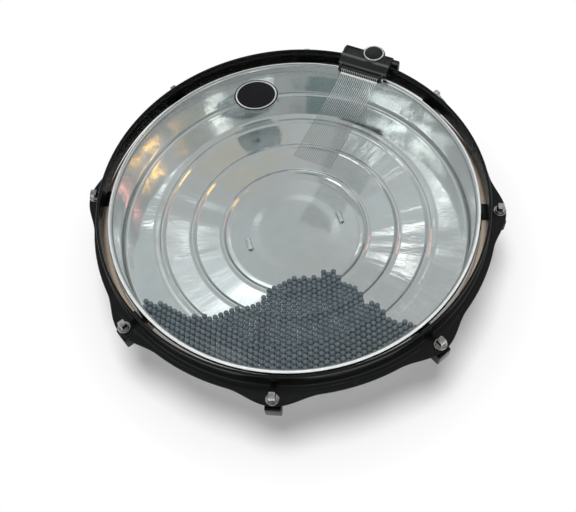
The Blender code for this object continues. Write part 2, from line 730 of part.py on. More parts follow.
def build_snare(parts, cutters, frame, black, steel):
    """Bar and strands, with their empty on the pivot pin's axis."""
    pivot = add_object("snare_pivot", None, parts)
    pivot.parent = frame
    pivot.location = (PIVOT_X, 0.0, PIVOT_Z)

    section = [(-BAR_HALF_DEPTH, -BAR_BELOW), (BAR_HALF_DEPTH, -BAR_BELOW),
               (BAR_HALF_DEPTH, BAR_ABOVE), (-BAR_HALF_DEPTH, BAR_ABOVE)]
    bar = extruded("snare_bar", section, BAR_LENGTH, parts)
    half_width = STRAND_COUNT * STRAND_PITCH / 2
    plate_back = BAR_HALF_DEPTH - PLATE_INSET
    plate_low = -PLATE_DROP - PLATE_SHEET / 2
    plate_high = -PLATE_DROP + PLATE_SHEET / 2
    slot_low = (-2 * BAR_HALF_DEPTH, -half_width - PLAY, plate_low - PLAY)
    slot_high = (plate_back + PLAY, half_width + PLAY, plate_high + PLAY)
    slot = block("plate_slot", slot_low, slot_high, cutters)
    bore = rod_mesh("bar_bore", PIN_RADIUS + PLAY, -BAR_LENGTH, BAR_LENGTH, cutters)
    apply_turn(bore, along_y(0, 0, 0))
    for tool in (slot, bore):
        tool.parent = pivot
        boolean(bar, tool, "DIFFERENCE")
    bar.parent = pivot
    shade(bar, black)

    front = -BAR_HALF_DEPTH - PLATE_LIP
    plate = block("snare_wires", (front, -half_width, plate_low), (plate_back, half_width, plate_high), parts)
    strands = build_strands(front, cutters)
    strands.parent = pivot
    boolean(plate, strands, "UNION")
    plate.parent = pivot
    shade(plate, steel)


def pile_reach(angle):
    """How far the beads reach in from the wall at an angle in degrees, along straight runs."""
    stations = list(zip(PILE_DEGREES, PILE_REACHES))
    for (a, reach_a), (b, reach_b) in zip(stations, stations[1:]):
        if a <= angle <= b:
            return reach_a + (reach_b - reach_a) * (angle - a) / (b - a)
    return 0.0


def pile_bed(radius):
    """Highest floor within a cell's width, so that the pile's flat underside clears the ridges."""
    reach = BEAD_PITCH / math.sqrt(3)
    tries = [max(radius - reach, 0.0), min(radius + reach, PILE_LIMIT)]
    tries += [r for r in floor_radii() if tries[0] < r < tries[1]]
    return max(floor_height(r) for r in tries)


def bead_top(radius):
    """Height of a bead's top, where the bead rests on the highest floor below it."""
    half = BEAD_DIAMETER / 2
    steps = [half * k / REST_STEPS for k in range(-REST_STEPS, REST_STEPS + 1)]
    return half + PLAY + max(floor_height(radius + d) + math.sqrt(half**2 - d**2) for d in steps)


def lattice_point(column, row):
    """Place of a point of the beads' hexagonal lattice, which is gently warped and turned."""
    u = column * BEAD_PITCH / 2
    v = row * BEAD_PITCH / (2 * math.sqrt(3))
    along = u + PACK_WARP * math.sin(2 * math.pi * v / PACK_WAVE)
    across = v + PACK_WARP * math.sin(2 * math.pi * u / PACK_WAVE)
    turn = math.radians(PACK_DEGREES)
    return (along * math.cos(turn) - across * math.sin(turn),
            along * math.sin(turn) + across * math.cos(turn))


def in_pile(x, y):
    """Whether a bead lies here: clear of the wall, and within the pile's reach and its lumps."""
    inward = PAN_WALL_RADIUS - math.hypot(x, y)
    lump = 0.5 + 0.5 * math.cos(2 * math.pi * (inward - LUMP_REACH) / LUMP_PITCH)
    return BEAD_CLEAR < inward < pile_reach(math.degrees(math.atan2(y, x)) + LUMP_DEGREES * lump)


def bead_cells():
    """Lattice places of the beads, without those that fewer than two others touch."""
    count = int(PAN_WALL_RADIUS / BEAD_PITCH * 2)
    rows = range(-count, count + 1)
    cells = {(2 * column + row % 2, 3 * row) for row in rows for column in rows}
    cells = {cell for cell in cells if in_pile(*lattice_point(*cell))}
    steps = ((2, 0), (1, 3), (-1, 3), (-2, 0), (-1, -3), (1, -3))
    touching = {cell: sum((cell[0] + dx, cell[1] + dy) in cells for dx, dy in steps) for cell in cells}
    return sorted(cell for cell in cells if touching[cell] >= 2)


def pile_points(work, place, dimple):
    """Two points of the pile at a lattice place, one on its top and one on its underside."""
    x, y = lattice_point(*place)
    radius = math.hypot(x, y)
    pull = min(1.0, PILE_LIMIT / radius)
    top = bead_top(radius * pull) - dimple
    bed = pile_bed(radius * pull) + PILE_LIFT
    return work.verts.new((x * pull, y * pull, top)), work.verts.new((x * pull, y * pull, bed))


def build_beads(parts, material):
    """The pile as one body: hexagonal cells side by side, each rising to the top of its bead."""
    hexagon = ((1, 1), (0, 2), (-1, 1), (-1, -1), (0, -2), (1, -1))
    work = bmesh.new()
    corners = {}
    border = set()
    for cell in bead_cells():
        crown, base = pile_points(work, cell, 0.0)
        around = [(cell[0] + dx, cell[1] + dy) for dx, dy in hexagon]
        for place in around:
            if place not in corners:
                corners[place] = pile_points(work, place, BEAD_DIMPLE)
        for first, second in zip(around, around[1:] + around[:1]):
            work.faces.new((crown, corners[first][0], corners[second][0]))
            work.faces.new((base, corners[second][1], corners[first][1]))
            if (second, first) in border:
                border.remove((second, first))
            else:
                border.add((first, second))
    for first, second in sorted(border):
        near, far = corners[first], corners[second]
        work.faces.new((near[0], near[1], far[1], far[0]))
    mesh = bpy.data.meshes.new("bead_pile")
    work.to_mesh(mesh)
    work.free()
    shade(add_object("bead_pile", mesh, parts), material)


def main():
    clear_scene()
    parts = make_collection(OBJECT_NAME)
    cutters = make_collection("cutters")
    zinc = make_material("galvanised_sheet", (0.62, 0.64, 0.65), 0.32, 1.0)
    strap = make_material("strap_steel", (0.55, 0.56, 0.57), 0.4, 1.0)
    film = make_material("clear_film", (0.90, 0.92, 0.92), 0.05, 0.0)
    tan = make_material("tan_hoop", (0.55, 0.42, 0.33), 0.4, 0.6)
    black = make_material("black_paint", (0.02, 0.02, 0.022), 0.35, 0.0)
    moulded = make_material("black_moulding", (0.025, 0.025, 0.027), 0.5, 0.0)
    chrome = make_material("chrome", (0.80, 0.79, 0.77), 0.12, 1.0)
    steel = make_material("bright_wire", (0.66, 0.68, 0.69), 0.25, 1.0)
    beads = make_material("slate_beads", (0.075, 0.085, 0.095), 0.45, 0.0)

    build_pan(parts, cutters, zinc)
    build_handle(parts, strap)
    build_head(parts, film, tan)
    build_rim(parts, cutters, black)
    build_lugs(parts, cutters, black, chrome, strap)
    frame = add_object("clip_frame", None, parts)
    frame.rotation_euler = (0.0, 0.0, CLIP_ANGLE)
    build_clip(parts, cutters, frame, moulded, black, chrome)
    build_clamp(parts, frame, moulded, chrome)
    build_snare(parts, cutters, frame, moulded, steel)
    build_beads(parts, beads)


main()
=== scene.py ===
"""Looks of a shallow snare drum made from an upturned dustbin lid.

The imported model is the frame. Each sub-assembly below is a class that works out its surfaces with
numpy, in metres, in the frame's own axes, and dresses them with a procedural finish. A plain white
stage with soft light and the camera comes first, then the pan with its handle, the clear head, the
rim with its lugs, the clip with its snare, the loose beads and the oval plate.
"""

import logging
import math
from dataclasses import dataclass
from enum import Enum
from functools import cache, reduce
from operator import add
from typing import Any

import bpy
import numpy as np
from mathutils import Matrix, Vector


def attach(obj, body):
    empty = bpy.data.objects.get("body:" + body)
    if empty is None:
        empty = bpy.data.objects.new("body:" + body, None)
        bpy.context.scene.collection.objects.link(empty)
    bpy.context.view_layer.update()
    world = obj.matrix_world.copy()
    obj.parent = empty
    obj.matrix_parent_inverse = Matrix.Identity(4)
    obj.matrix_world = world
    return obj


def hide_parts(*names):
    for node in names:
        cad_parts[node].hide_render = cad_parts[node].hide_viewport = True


Array = np.ndarray
Piece = bpy.types.Object
Socket = bpy.types.NodeSocket
Tree = bpy.types.NodeTree
Material = bpy.types.Material
Pair = tuple[float, float]
Triple = tuple[float, float, float]
Colour = Triple

LOG = logging.getLogger("lid_snare_drum")
TAU = 2 * math.pi
# Points closer than this are one point.
WELD = 1e-7
# How far a cutting tool goes past what it cuts.
TOOL_PAST = 0.004
# Rows of points for one turn of a screw thread.
THREAD_ROWS = 5
# Share of an edge that the rounding of one of its corners may take.
ROUND_SHARE = 0.45
# Least divisor of a mitre, which holds back sharp corners.
MITRE_LEAST = 0.2

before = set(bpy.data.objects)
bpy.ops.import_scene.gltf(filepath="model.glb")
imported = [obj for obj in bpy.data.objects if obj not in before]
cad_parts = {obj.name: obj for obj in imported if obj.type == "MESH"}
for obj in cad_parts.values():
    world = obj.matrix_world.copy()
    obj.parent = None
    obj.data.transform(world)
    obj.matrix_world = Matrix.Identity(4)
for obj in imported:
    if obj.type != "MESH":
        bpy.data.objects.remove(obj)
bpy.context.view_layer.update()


class Body(Enum):
    """Bodies of the frame that pieces ride on."""

    DRUM = "drum"
    SNARE = "snare"
    CLAMP = "clamp"
    BEADS = "beads"


class Join(Enum):
    """What a tool does to the piece it meets."""

    ADD = "UNION"
    CUT = "DIFFERENCE"


class Slot(Enum):
    """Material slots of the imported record."""

    ZINC = "galvanised_sheet"
    STRAP = "strap_steel"
    FILM = "clear_film"
    HOOP = "tan_hoop"
    PAINT = "black_paint"
    MOULDING = "black_moulding"
    GLOSS = "gloss_black"
    CHROME = "chrome"
    WIRE = "bright_wire"
    BEADS = "slate_beads"


@dataclass
class Surface:
    """Points and faces of closed shells. Each array in faces holds faces with as many corners."""

    points: Array
    faces: list[Array]

    def __add__(self, other: "Surface") -> "Surface":
        """Both surfaces as one."""
        shifted = [block + len(self.points) for block in other.faces]
        return Surface(np.vstack([self.points, other.points]), self.faces + shifted)

    def welded(self) -> "Surface":
        """Join points that share a place, as at a pole. A quad that loses a corner becomes a triangle.

        Returns:
            The joined surface.
        """
        keys = np.round(self.points / WELD).astype(np.int64)
        _, first, back = np.unique(keys, axis=0, return_index=True, return_inverse=True)
        faces = []
        for block in self.faces:
            block = back.reshape(-1)[block]
            same = block == np.roll(block, -1, axis=1)
            lost = same.sum(axis=1)
            faces.append(block[lost == 0])
            if block.shape[1] == 4:
                faces.append(block[lost == 1][~same[lost == 1]].reshape(-1, 3))
        return Surface(self.points[first], [block for block in faces if len(block)])

    def outward(self) -> "Surface":
        """Turn the faces outwards: over if the triple products of their fans add up to less than 0.

        Returns:
            The turned surface.
        """
        volume = 0.0
        for block in self.faces:
            corners = self.points[block]
            volume += (corners[:, :1] * np.cross(corners[:, 1:-1], corners[:, 2:])).sum()
        way = -1 if volume < 0 else 1
        return Surface(self.points, [block[:, ::way] for block in self.faces])

    def moved(self, matrix: Matrix) -> "Surface":
        """The surface under a rigid transform."""
        turn = np.array(matrix)
        return Surface(self.points @ turn[:3, :3].T + turn[:3, 3], self.faces)

    def scattered(self, places: Array) -> "Surface":
        """A copy of the surface at each place.

        Args:
            places: Offsets, one row each.

        Returns:
            All copies as one surface.
        """
        points = (places[:, None] + self.points[None]).reshape(-1, 3)
        step = (np.arange(len(places)) * len(self.points))[:, None, None]
        return Surface(points, [(block[None] + step).reshape(-1, block.shape[1]) for block in self.faces])

    def as_object(self, name: str, sharp_degrees: float = 35) -> Piece:
        """Make a mesh object, smooth up to an angle.

        Args:
            name: Name of the object and its mesh.
            sharp_degrees: Edges steeper than this stay crisp.

        Returns:
            The object, linked to the scene.
        """
        mesh = bpy.data.meshes.new(name)
        corners = np.concatenate([block.ravel() for block in self.faces])
        sizes = np.concatenate([np.full(len(block), block.shape[1]) for block in self.faces])
        mesh.vertices.add(len(self.points))
        mesh.vertices.foreach_set("co", self.points.astype(np.float32).ravel())
        mesh.loops.add(len(corners))
        mesh.loops.foreach_set("vertex_index", corners.astype(np.int32))
        mesh.polygons.add(len(sizes))
        mesh.polygons.foreach_set("loop_start", (np.cumsum(sizes) - sizes).astype(np.int32))
        mesh.update(calc_edges=True)
        mesh.validate()
        piece = bpy.data.objects.new(name, mesh)
        bpy.context.scene.collection.objects.link(piece)
        smooth(piece, sharp_degrees)
        return piece


def smooth(piece: Piece, sharp_degrees: float = 35) -> None:
    """Shade a piece smooth, with edges steeper than an angle kept crisp."""
    piece.data.shade_smooth()
    piece.data.set_sharp_from_angle(angle=math.radians(sharp_degrees))


def grid(points: Array, ring: bool = False, caps: bool = False) -> Surface:
    """Join a grid of points into quads. Its columns always close into a loop.

    Args:
        points: Places by row and column.
        ring: Whether the last row joins the first.
        caps: Whether the first and last rows are closed by flat faces.

    Returns:
        The surface, welded and with its faces outwards.
    """
    rows, columns = points.shape[:2]
    number = np.arange(rows * columns).reshape(rows, columns)
    ends = [number[:1, ::-1], number[-1:]] if caps else []
    if ring:
        number = np.vstack([number, number[:1]])
    number = np.hstack([number, number[:, :1]])
    quads = np.stack([number[:-1, :-1], number[:-1, 1:], number[1:, 1:], number[1:, :-1]], axis=-1)
    return Surface(points.reshape(-1, 3), [quads.reshape(-1, 4), *ends]).welded().outward()


def angles(steps: int) -> Array:
    """Evenly spaced angles of a full turn."""
    return np.arange(steps) * TAU / steps


def arc(radius: float, x: float, z: float, start: float, stop: float, count: int) -> Array:
    """Points on a circle between two angles in degrees, both ends included."""
    turn = np.radians(np.linspace(start, stop, count))
    return np.column_stack([x + radius * np.cos(turn), z + radius * np.sin(turn)])


def polar(radius: Array, turn: Array, height: Array) -> Array:
    """Points at radii, angles about Z and heights, whose arrays spread over one another."""
    return np.stack([radius * np.cos(turn), radius * np.sin(turn), height + 0 * turn], axis=-1)


def ring_rows(profile: Array, steps: int) -> Array:
    """Rows of points round Z for a profile of (radius, height)."""
    return polar(profile[:, :1], angles(steps), profile[:, 1:])


def turned(profile: Array, steps: int, ring: bool = False) -> Surface:
    """Carry a profile of (radius, height) round Z. Ends on the axis are poles, a ring is a closed loop."""
    return grid(ring_rows(profile, steps), ring=ring)


def soft_loop(corners: Array, radius: float, steps: int = 5) -> Array:
    """Round the corners of a closed outline.

    Each corner becomes the curve corner + t((1-u)^2 a + u^2 b), where a and b point along its two
    edges, u runs from 0 to 1 and t is the radius, or less where an edge is short.

    Args:
        corners: Corner points of the outline, in order.
        radius: How far from its corner a curve starts.
        steps: Points of each curve.

    Returns:
        Points of the rounded outline.
    """
    before, after = (np.roll(corners, step, axis=0) - corners for step in (1, -1))
    before_length, after_length = (np.linalg.norm(way, axis=1, keepdims=True) for way in (before, after))
    reach = np.minimum(radius, ROUND_SHARE * np.minimum(before_length, after_length))[:, None]
    u = np.linspace(0, 1, steps)[None, :, None]
    bend = (1 - u) ** 2 * (before / before_length)[:, None] + u**2 * (after / after_length)[:, None]
    return (corners[:, None] + reach * bend).reshape(-1, 2)


def soft_path(corners: Array, radius: float, steps: int = 7) -> Array:
    """Round the inner corners of an open path of (x, z) points."""
    curve = soft_loop(corners, radius, steps).reshape(len(corners), steps, 2)
    return np.vstack([corners[:1], curve[1:-1].reshape(-1, 2), corners[-1:]])


def box_outline(x0: float, x1: float, z0: float, z1: float) -> Array:
    """Corners of an upright rectangle."""
    return np.array([(x0, z0), (x1, z0), (x1, z1), (x0, z1)])


def soft_disc(radius: float, low: float, high: float, soft: float) -> Array:
    """Profile of a disc's edge with bevelled corners."""
    inner = radius - soft
    return np.array([(inner, low), (radius, low + soft), (radius, high - soft), (inner, high)])


def inset(loop: Array, distance: float) -> Array:
    """Move a closed outline inwards: each point along the mitre of its two edges' normals.

    Args:
        loop: Points of the outline.
        distance: How far it moves.

    Returns:
        Points of the smaller outline.
    """
    x, y = loop[:, 0], loop[:, 1]
    area = (x * np.roll(y, -1) - y * np.roll(x, -1)).sum()
    edge = np.roll(loop, -1, axis=0) - loop
    normal = np.column_stack([-edge[:, 1], edge[:, 0]]) * np.sign(area)
    normal /= np.linalg.norm(normal, axis=1, keepdims=True)
    earlier = np.roll(normal, 1, axis=0)
    spread = 1 + (normal * earlier).sum(axis=1, keepdims=True)
    return loop + distance * (normal + earlier) / np.maximum(spread, MITRE_LEAST)


def prism(outline: Array, middle: float, half: float, edge: float, steps: int = 4) -> Surface:
    """Carry an outline of (x, z) points along Y, with its two ends rounded over.

    Args:
        outline: Points of the closed outline.
        middle: Its middle on Y.
        half: How far it goes to each side.
        edge: Radius of the rounded ends, by which the outline draws in there.
        steps: Rows of each rounded end.

    Returns:
        The closed surface.
    """
    turn = np.linspace(0, math.pi / 2, steps)
    rows = [(edge * (1 - math.cos(t)), edge * (1 - math.sin(t))) for t in turn]
    rows = [(middle - half + s, d) for s, d in rows] + [(middle + half - s, d) for s, d in rows[::-1]]
    return grid(np.stack([np.insert(inset(outline, d), 1, y, axis=1) for y, d in rows]), caps=True)


def block(low: Triple, high: Triple) -> Surface:
    """A plain box between two corners, used as a cutting tool."""
    outline = box_outline(low[0], high[0], low[2], high[2])
    return grid(np.stack([np.insert(outline, 1, y, axis=1) for y in (low[1], high[1])]), caps=True)


def cylinder(radius: float, low: float, high: float, steps: int = 32) -> Surface:
    """A plain bar along Z, used as a cutting tool."""
    return turned(np.array([(0, low), (radius, low), (radius, high), (0, high)]), steps)


def threaded(radius: float, low: float, high: float, pitch: float, depth: float, steps: int) -> Array:
    """Points of a screw thread along Z.

    The radius at angle a and height z is radius - depth/2 (1 + cos(a - 2 pi z / pitch)), and the
    thread fades out over its last pitch at each end.

    Args:
        radius: Outside radius.
        low: Height of the lower end.
        high: Height of the upper end.
        pitch: Rise of one turn.
        depth: Depth of the groove.
        steps: Places round the axis.

    Returns:
        Points by row and column.
    """
    z = np.linspace(low, high, int((high - low) / pitch * THREAD_ROWS) + 2)[:, None]
    turn = angles(steps)
    fade = np.clip(np.minimum(z - low, high - z) / pitch, 0, 1)
    return polar(radius - fade * depth / 2 * (1 + np.cos(turn - TAU * z / pitch)), turn, z)


def along_x(x: float, y: float, z: float) -> Matrix:
    """Lay a shape made along Z on the X axis, and move it."""
    return Matrix.Translation((x, y, z)) @ Matrix.Rotation(math.pi / 2, 4, "Y")


def along_y(x: float, y: float, z: float) -> Matrix:
    """Lay a shape made along Z on the Y axis, and move it."""
    return Matrix.Translation((x, y, z)) @ Matrix.Rotation(-math.pi / 2, 4, "X")


def work(piece: Piece, join: Join, *tools: Surface) -> None:
    """Add shapes to a piece, or cut them out, and keep the result as the piece's mesh.

    Args:
        piece: The piece that changes.
        join: Whether the shapes are added or cut.
        tools: The shapes, in order.
    """
    for tool in tools:
        helper = tool.as_object("tool")
        modifier = piece.modifiers.new("tool", "BOOLEAN")
        modifier.operation, modifier.solver, modifier.object = join.value, "EXACT", helper
        bpy.context.view_layer.update()
        graph = bpy.context.evaluated_depsgraph_get()
        mesh = bpy.data.meshes.new_from_object(piece.evaluated_get(graph))
        piece.modifiers.clear()
        old, piece.data = piece.data, mesh
        mesh.name = piece.name
        bpy.data.meshes.remove(old)
        bpy.data.objects.remove(helper, do_unlink=True)
        smooth(piece)


def points_of(piece: Piece) -> Array:
    """Places of a piece's points, one row each."""
    points = np.empty(len(piece.data.vertices) * 3, dtype=np.float32)
    piece.data.vertices.foreach_get("co", points)
    return points.reshape(-1, 3)


def keep_mark(piece: Piece, name: str, values: Array) -> None:
    """Keep a value for each point of a piece in a mesh attribute."""
    mark = piece.data.attributes.new(name, "FLOAT", "POINT")
    mark.data.foreach_set("value", values.astype(np.float32))


def mark_edge_highlight(piece: Piece, corners: list[Pair], reach: float, fade: float = 0.62) -> None:
    """Keep how near each point is to a rounded edge along Y in the mesh attribute edge, as a painted
    highlight along that edge.

    The mark is (t - d) / f t between 0 and 1, where t is the reach of the rounding, d the distance
    from the sharp edge that it replaces and f the fade.

    Args:
        piece: The piece, in the axes of its section.
        corners: Where the sharp edges are, as (x, z).
        reach: How far from its corner a rounding starts.
        fade: Share of the reach over which the mark grows.
    """
    across = points_of(piece)[:, None, [0, 2]] - np.array(corners)
    mark = np.clip((reach - np.linalg.norm(across, axis=-1)) / (fade * reach), 0, 1).max(axis=1)
    keep_mark(piece, "edge", mark)


class Sketch:
    """Adds nodes to a node tree and wires them as it goes."""

    def __init__(self, tree: Tree) -> None:
        """Keep the tree that nodes go into."""
        self.tree = tree

    def feed(self, inputs: Any, values: dict[Any, Any]) -> None:
        """Wire source sockets to the inputs of a node, and set plain values on them.

        Args:
            inputs: The node's inputs.
            values: Values or source sockets by input name or number.
        """
        for key, value in values.items():
            if isinstance(value, Socket):
                self.tree.links.new(value, inputs[key])
            else:
                inputs[key].default_value = value

    def node(self, kind: str, values: dict[Any, Any] | None = None, **settings: Any) -> bpy.types.Node:
        """Add a node.

        Args:
            kind: Blender's name of the node type.
            values: Values or source sockets by input name or number.
            settings: Other properties of the node.

        Returns:
            The node.
        """
        made = self.tree.nodes.new(kind)
        for key, value in settings.items():
            setattr(made, key, value)
        self.feed(made.inputs, values or {})
        return made

    def maths(self, operation: str, first: Any, second: Any, **settings: Any) -> Socket:
        """Result of one Math node."""
        return self.node("ShaderNodeMath", {0: first, 1: second}, operation=operation, **settings).outputs[0]

    def vector(self, operation: str, *values: Any) -> bpy.types.Node:
        """A Vector Math node."""
        return self.node("ShaderNodeVectorMath", dict(enumerate(values)), operation=operation)

    def noise(self, vector: Socket, scale: Any, detail: float, roughness: float = 0.5) -> Socket:
        """Soft noise about a half."""
        values = {"Vector": vector, "Scale": scale, "Detail": detail, "Roughness": roughness}
        return self.node("ShaderNodeTexNoise", values).outputs["Fac"]

    def blend(self, factor: Any, first: Any, second: Any) -> Socket:
        """Colour between two colours."""
        first, second = ((*c, 1.0) if isinstance(c, tuple) else c for c in (first, second))
        return self.node("ShaderNodeMix", {0: factor, 6: first, 7: second}, data_type="RGBA").outputs[2]

    def spread(self, value: Any, low: float, high: float, start: float = 0.0, stop: float = 1.0,
               **settings: Any) -> Socket:
        """Value carried from the range start to stop onto low to high."""
        values = {"Value": value, "From Min": start, "From Max": stop, "To Min": low, "To Max": high}
        return self.node("ShaderNodeMapRange", values, **settings).outputs["Result"]


def new_group(name: str, inputs: tuple[str, ...], outputs: tuple[str, ...]) -> tuple[Sketch, Any, Any]:
    """Start a shader node group with named sockets: Vector holds a vector, the others a number.

    Args:
        name: Name of the group.
        inputs: Names of its inputs.
        outputs: Names of its outputs.

    Returns:
        A sketch on the group's tree, the sockets that come in and those that go out.
    """
    tree = bpy.data.node_groups.new(name, "ShaderNodeTree")
    for labels, way in ((inputs, "INPUT"), (outputs, "OUTPUT")):
        for label in labels:
            kind = "NodeSocketVector" if label == "Vector" else "NodeSocketFloat"
            tree.interface.new_socket(label, in_out=way, socket_type=kind)
    sketch = Sketch(tree)
    return sketch, sketch.node("NodeGroupInput").outputs, sketch.node("NodeGroupOutput").inputs


@cache
def mottle_group() -> Tree:
    """Cloudy unevenness: soft noise of a given scale, from 0 to 1.

    Returns:
        The node group.
    """
    sketch, given, result = new_group("mottle", ("Vector", "Scale", "Contrast"), ("Value",))
    centred = sketch.maths("SUBTRACT", sketch.noise(given["Vector"], given["Scale"], 4.0, 0.55), 0.5)
    raised = sketch.maths("MULTIPLY", centred, given["Contrast"])
    sketch.feed(result, {"Value": sketch.maths("ADD", raised, 0.5, use_clamp=True)})
    return sketch.tree


@cache
def grain_group() -> Tree:
    """Fine tooth of a surface: small noise over a broader swell, as a height.

    Returns:
        The node group.
    """
    sketch, given, result = new_group("grain", ("Vector", "Scale"), ("Height",))
    fine = sketch.noise(given["Vector"], given["Scale"], 3.0)
    broad = sketch.noise(given["Vector"], sketch.maths("MULTIPLY", given["Scale"], 0.12), 1.0)
    sketch.feed(result, {"Height": sketch.maths("ADD", sketch.maths("MULTIPLY", fine, 0.6), broad)})
    return sketch.tree


@cache
def scuff_group() -> Tree:
    """Rubbed spots from handling: the peaks of a stretched noise.

    Returns:
        The node group.
    """
    sketch, given, result = new_group("scuff", ("Vector", "Scale", "Amount"), ("Mask",))
    stretch = sketch.node("ShaderNodeMapping", {"Vector": given["Vector"], "Scale": (1.0, 1.0, 2.6)})
    noise = sketch.noise(stretch.outputs[0], given["Scale"], 6.0, 0.68)
    peaks = sketch.spread(noise, 0.0, 1.0, 0.60, 0.74)
    sketch.feed(result, {"Mask": sketch.maths("MULTIPLY", peaks, given["Amount"])})
    return sketch.tree


@cache
def spoke_group() -> Tree:
    """Place about the drum's axis: the radius, streaks along it and fine turning lines.

    Returns:
        The node group.
    """
    sketch, given, result = new_group("spoke", ("Vector", "Scale"), ("Radius", "Streak", "Turning"))
    flat = sketch.vector("MULTIPLY", given["Vector"], (1.0, 1.0, 0.0)).outputs[0]
    radius = sketch.vector("LENGTH", flat).outputs["Value"]
    way = sketch.vector("NORMALIZE", flat).outputs[0]
    drift = sketch.node("ShaderNodeCombineXYZ", {2: sketch.maths("MULTIPLY", radius, 2.2)}).outputs[0]
    streak = sketch.noise(sketch.vector("ADD", way, drift).outputs[0], given["Scale"], 3.0)
    lathe = sketch.node("ShaderNodeCombineXYZ", {0: radius}).outputs[0]
    turning = sketch.noise(lathe, 900.0, 2.0)
    sketch.feed(result, {"Radius": radius, "Streak": streak, "Turning": turning})
    return sketch.tree


class Recipe(Sketch):
    """A material in the making, on Object coordinates, with its Principled shader."""

    def __init__(self, name: str) -> None:
        """Start the material.

        Args:
            name: Its name.
        """
        self.material = bpy.data.materials.new(name)
        self.material.use_nodes = True
        super().__init__(self.material.node_tree)
        self.shader = self.tree.nodes["Principled BSDF"]
        self.place = self.node("ShaderNodeTexCoord").outputs["Object"]

    def group(self, tree: Tree, **values: float) -> Any:
        """Outputs of a node group that is placed with its own values."""
        return self.node("ShaderNodeGroup", {"Vector": self.place, **values}, node_tree=tree).outputs

    def cloud(self, scale: float, contrast: float) -> Socket:
        """Cloudy unevenness from 0 to 1."""
        return self.group(mottle_group(), Scale=scale, Contrast=contrast)["Value"]

    def rub(self, scale: float, amount: float) -> Socket:
        """Mask of rubbed spots."""
        return self.group(scuff_group(), Scale=scale, Amount=amount)["Mask"]

    def tooth(self, scale: float) -> Socket:
        """Height of the surface's tooth."""
        return self.group(grain_group(), Scale=scale)["Height"]

    def mark(self, name: str) -> Socket:
        """Value of a mesh attribute."""
        return self.node("ShaderNodeAttribute", attribute_name=name).outputs["Fac"]

    def bump(self, height: Socket, distance: float, **more: Socket) -> Socket:
        """Normal that a height tilts."""
        values = {"Height": height, "Strength": 1.0, "Distance": distance, **more}
        return self.node("ShaderNodeBump", values).outputs[0]

    def wire(self, **looks: Any) -> Material:
        """Wire the shader's inputs, whose names are written here with _ for a space.

        Args:
            looks: Values or source sockets.

        Returns:
            The material.
        """
        self.feed(self.shader.inputs, {key.replace("_", " "): value for key, value in looks.items()})
        return self.material

    def mix_out(self, share: Socket, first: Socket, second: Socket) -> None:
        """Send a mix of two shaders to the material's output."""
        mixed = self.node("ShaderNodeMixShader", {0: share, 1: first, 2: second}).outputs[0]
        self.feed(self.tree.nodes["Material Output"].inputs, {"Surface": mixed})


@dataclass(frozen=True)
class Finish:
    """A painted, moulded or metal surface with uneven tone and gloss, a fine tooth and rubbed spots.

    Edges marked in the mesh attribute edge turn towards the edge colour by the painted light share: a painted
    highlight along rounded edges, and on the wire a painted highlight on the tops of the curls over painted
    shade.
    """

    name: str
    slot: Slot
    colour: Colour
    second: Colour
    roughness: Pair
    metallic: float = 0.0
    specular: float = 0.5
    mottle: float = 70.0
    contrast: float = 1.6
    grain: float = 2600.0
    depth: float = 0.00001
    worn: Colour = (0.10, 0.10, 0.10)
    scuff: float = 0.0
    scuff_scale: float = 120.0
    scuff_gloss: float = 0.18
    edge: Colour = (0.10, 0.10, 0.10)
    painted_light_share: float = 0.0

    @cache
    def material(self) -> Material:
        """Build the material once.

        Returns:
            The material.
        """
        made = Recipe(self.name)
        cloud = made.cloud(self.mottle, self.contrast)
        rub = made.rub(self.scuff_scale, self.scuff)
        tone = made.blend(cloud, self.colour, self.second)
        # Painted light: points marked in the attribute edge turn towards the edge colour, a painted
        # highlight.
        if self.painted_light_share:
            painted_light_mask = made.maths("MULTIPLY", made.mark("edge"), self.painted_light_share)
            tone = made.blend(painted_light_mask, tone, self.edge)
        duller = made.maths("MULTIPLY", rub, self.scuff_gloss)
        return made.wire(Base_Color=made.blend(rub, tone, self.worn),
                         Roughness=made.maths("ADD", made.spread(cloud, *self.roughness), duller),
                         Normal=made.bump(made.tooth(self.grain), self.depth),
                         Metallic=self.metallic, Specular_IOR_Level=self.specular)


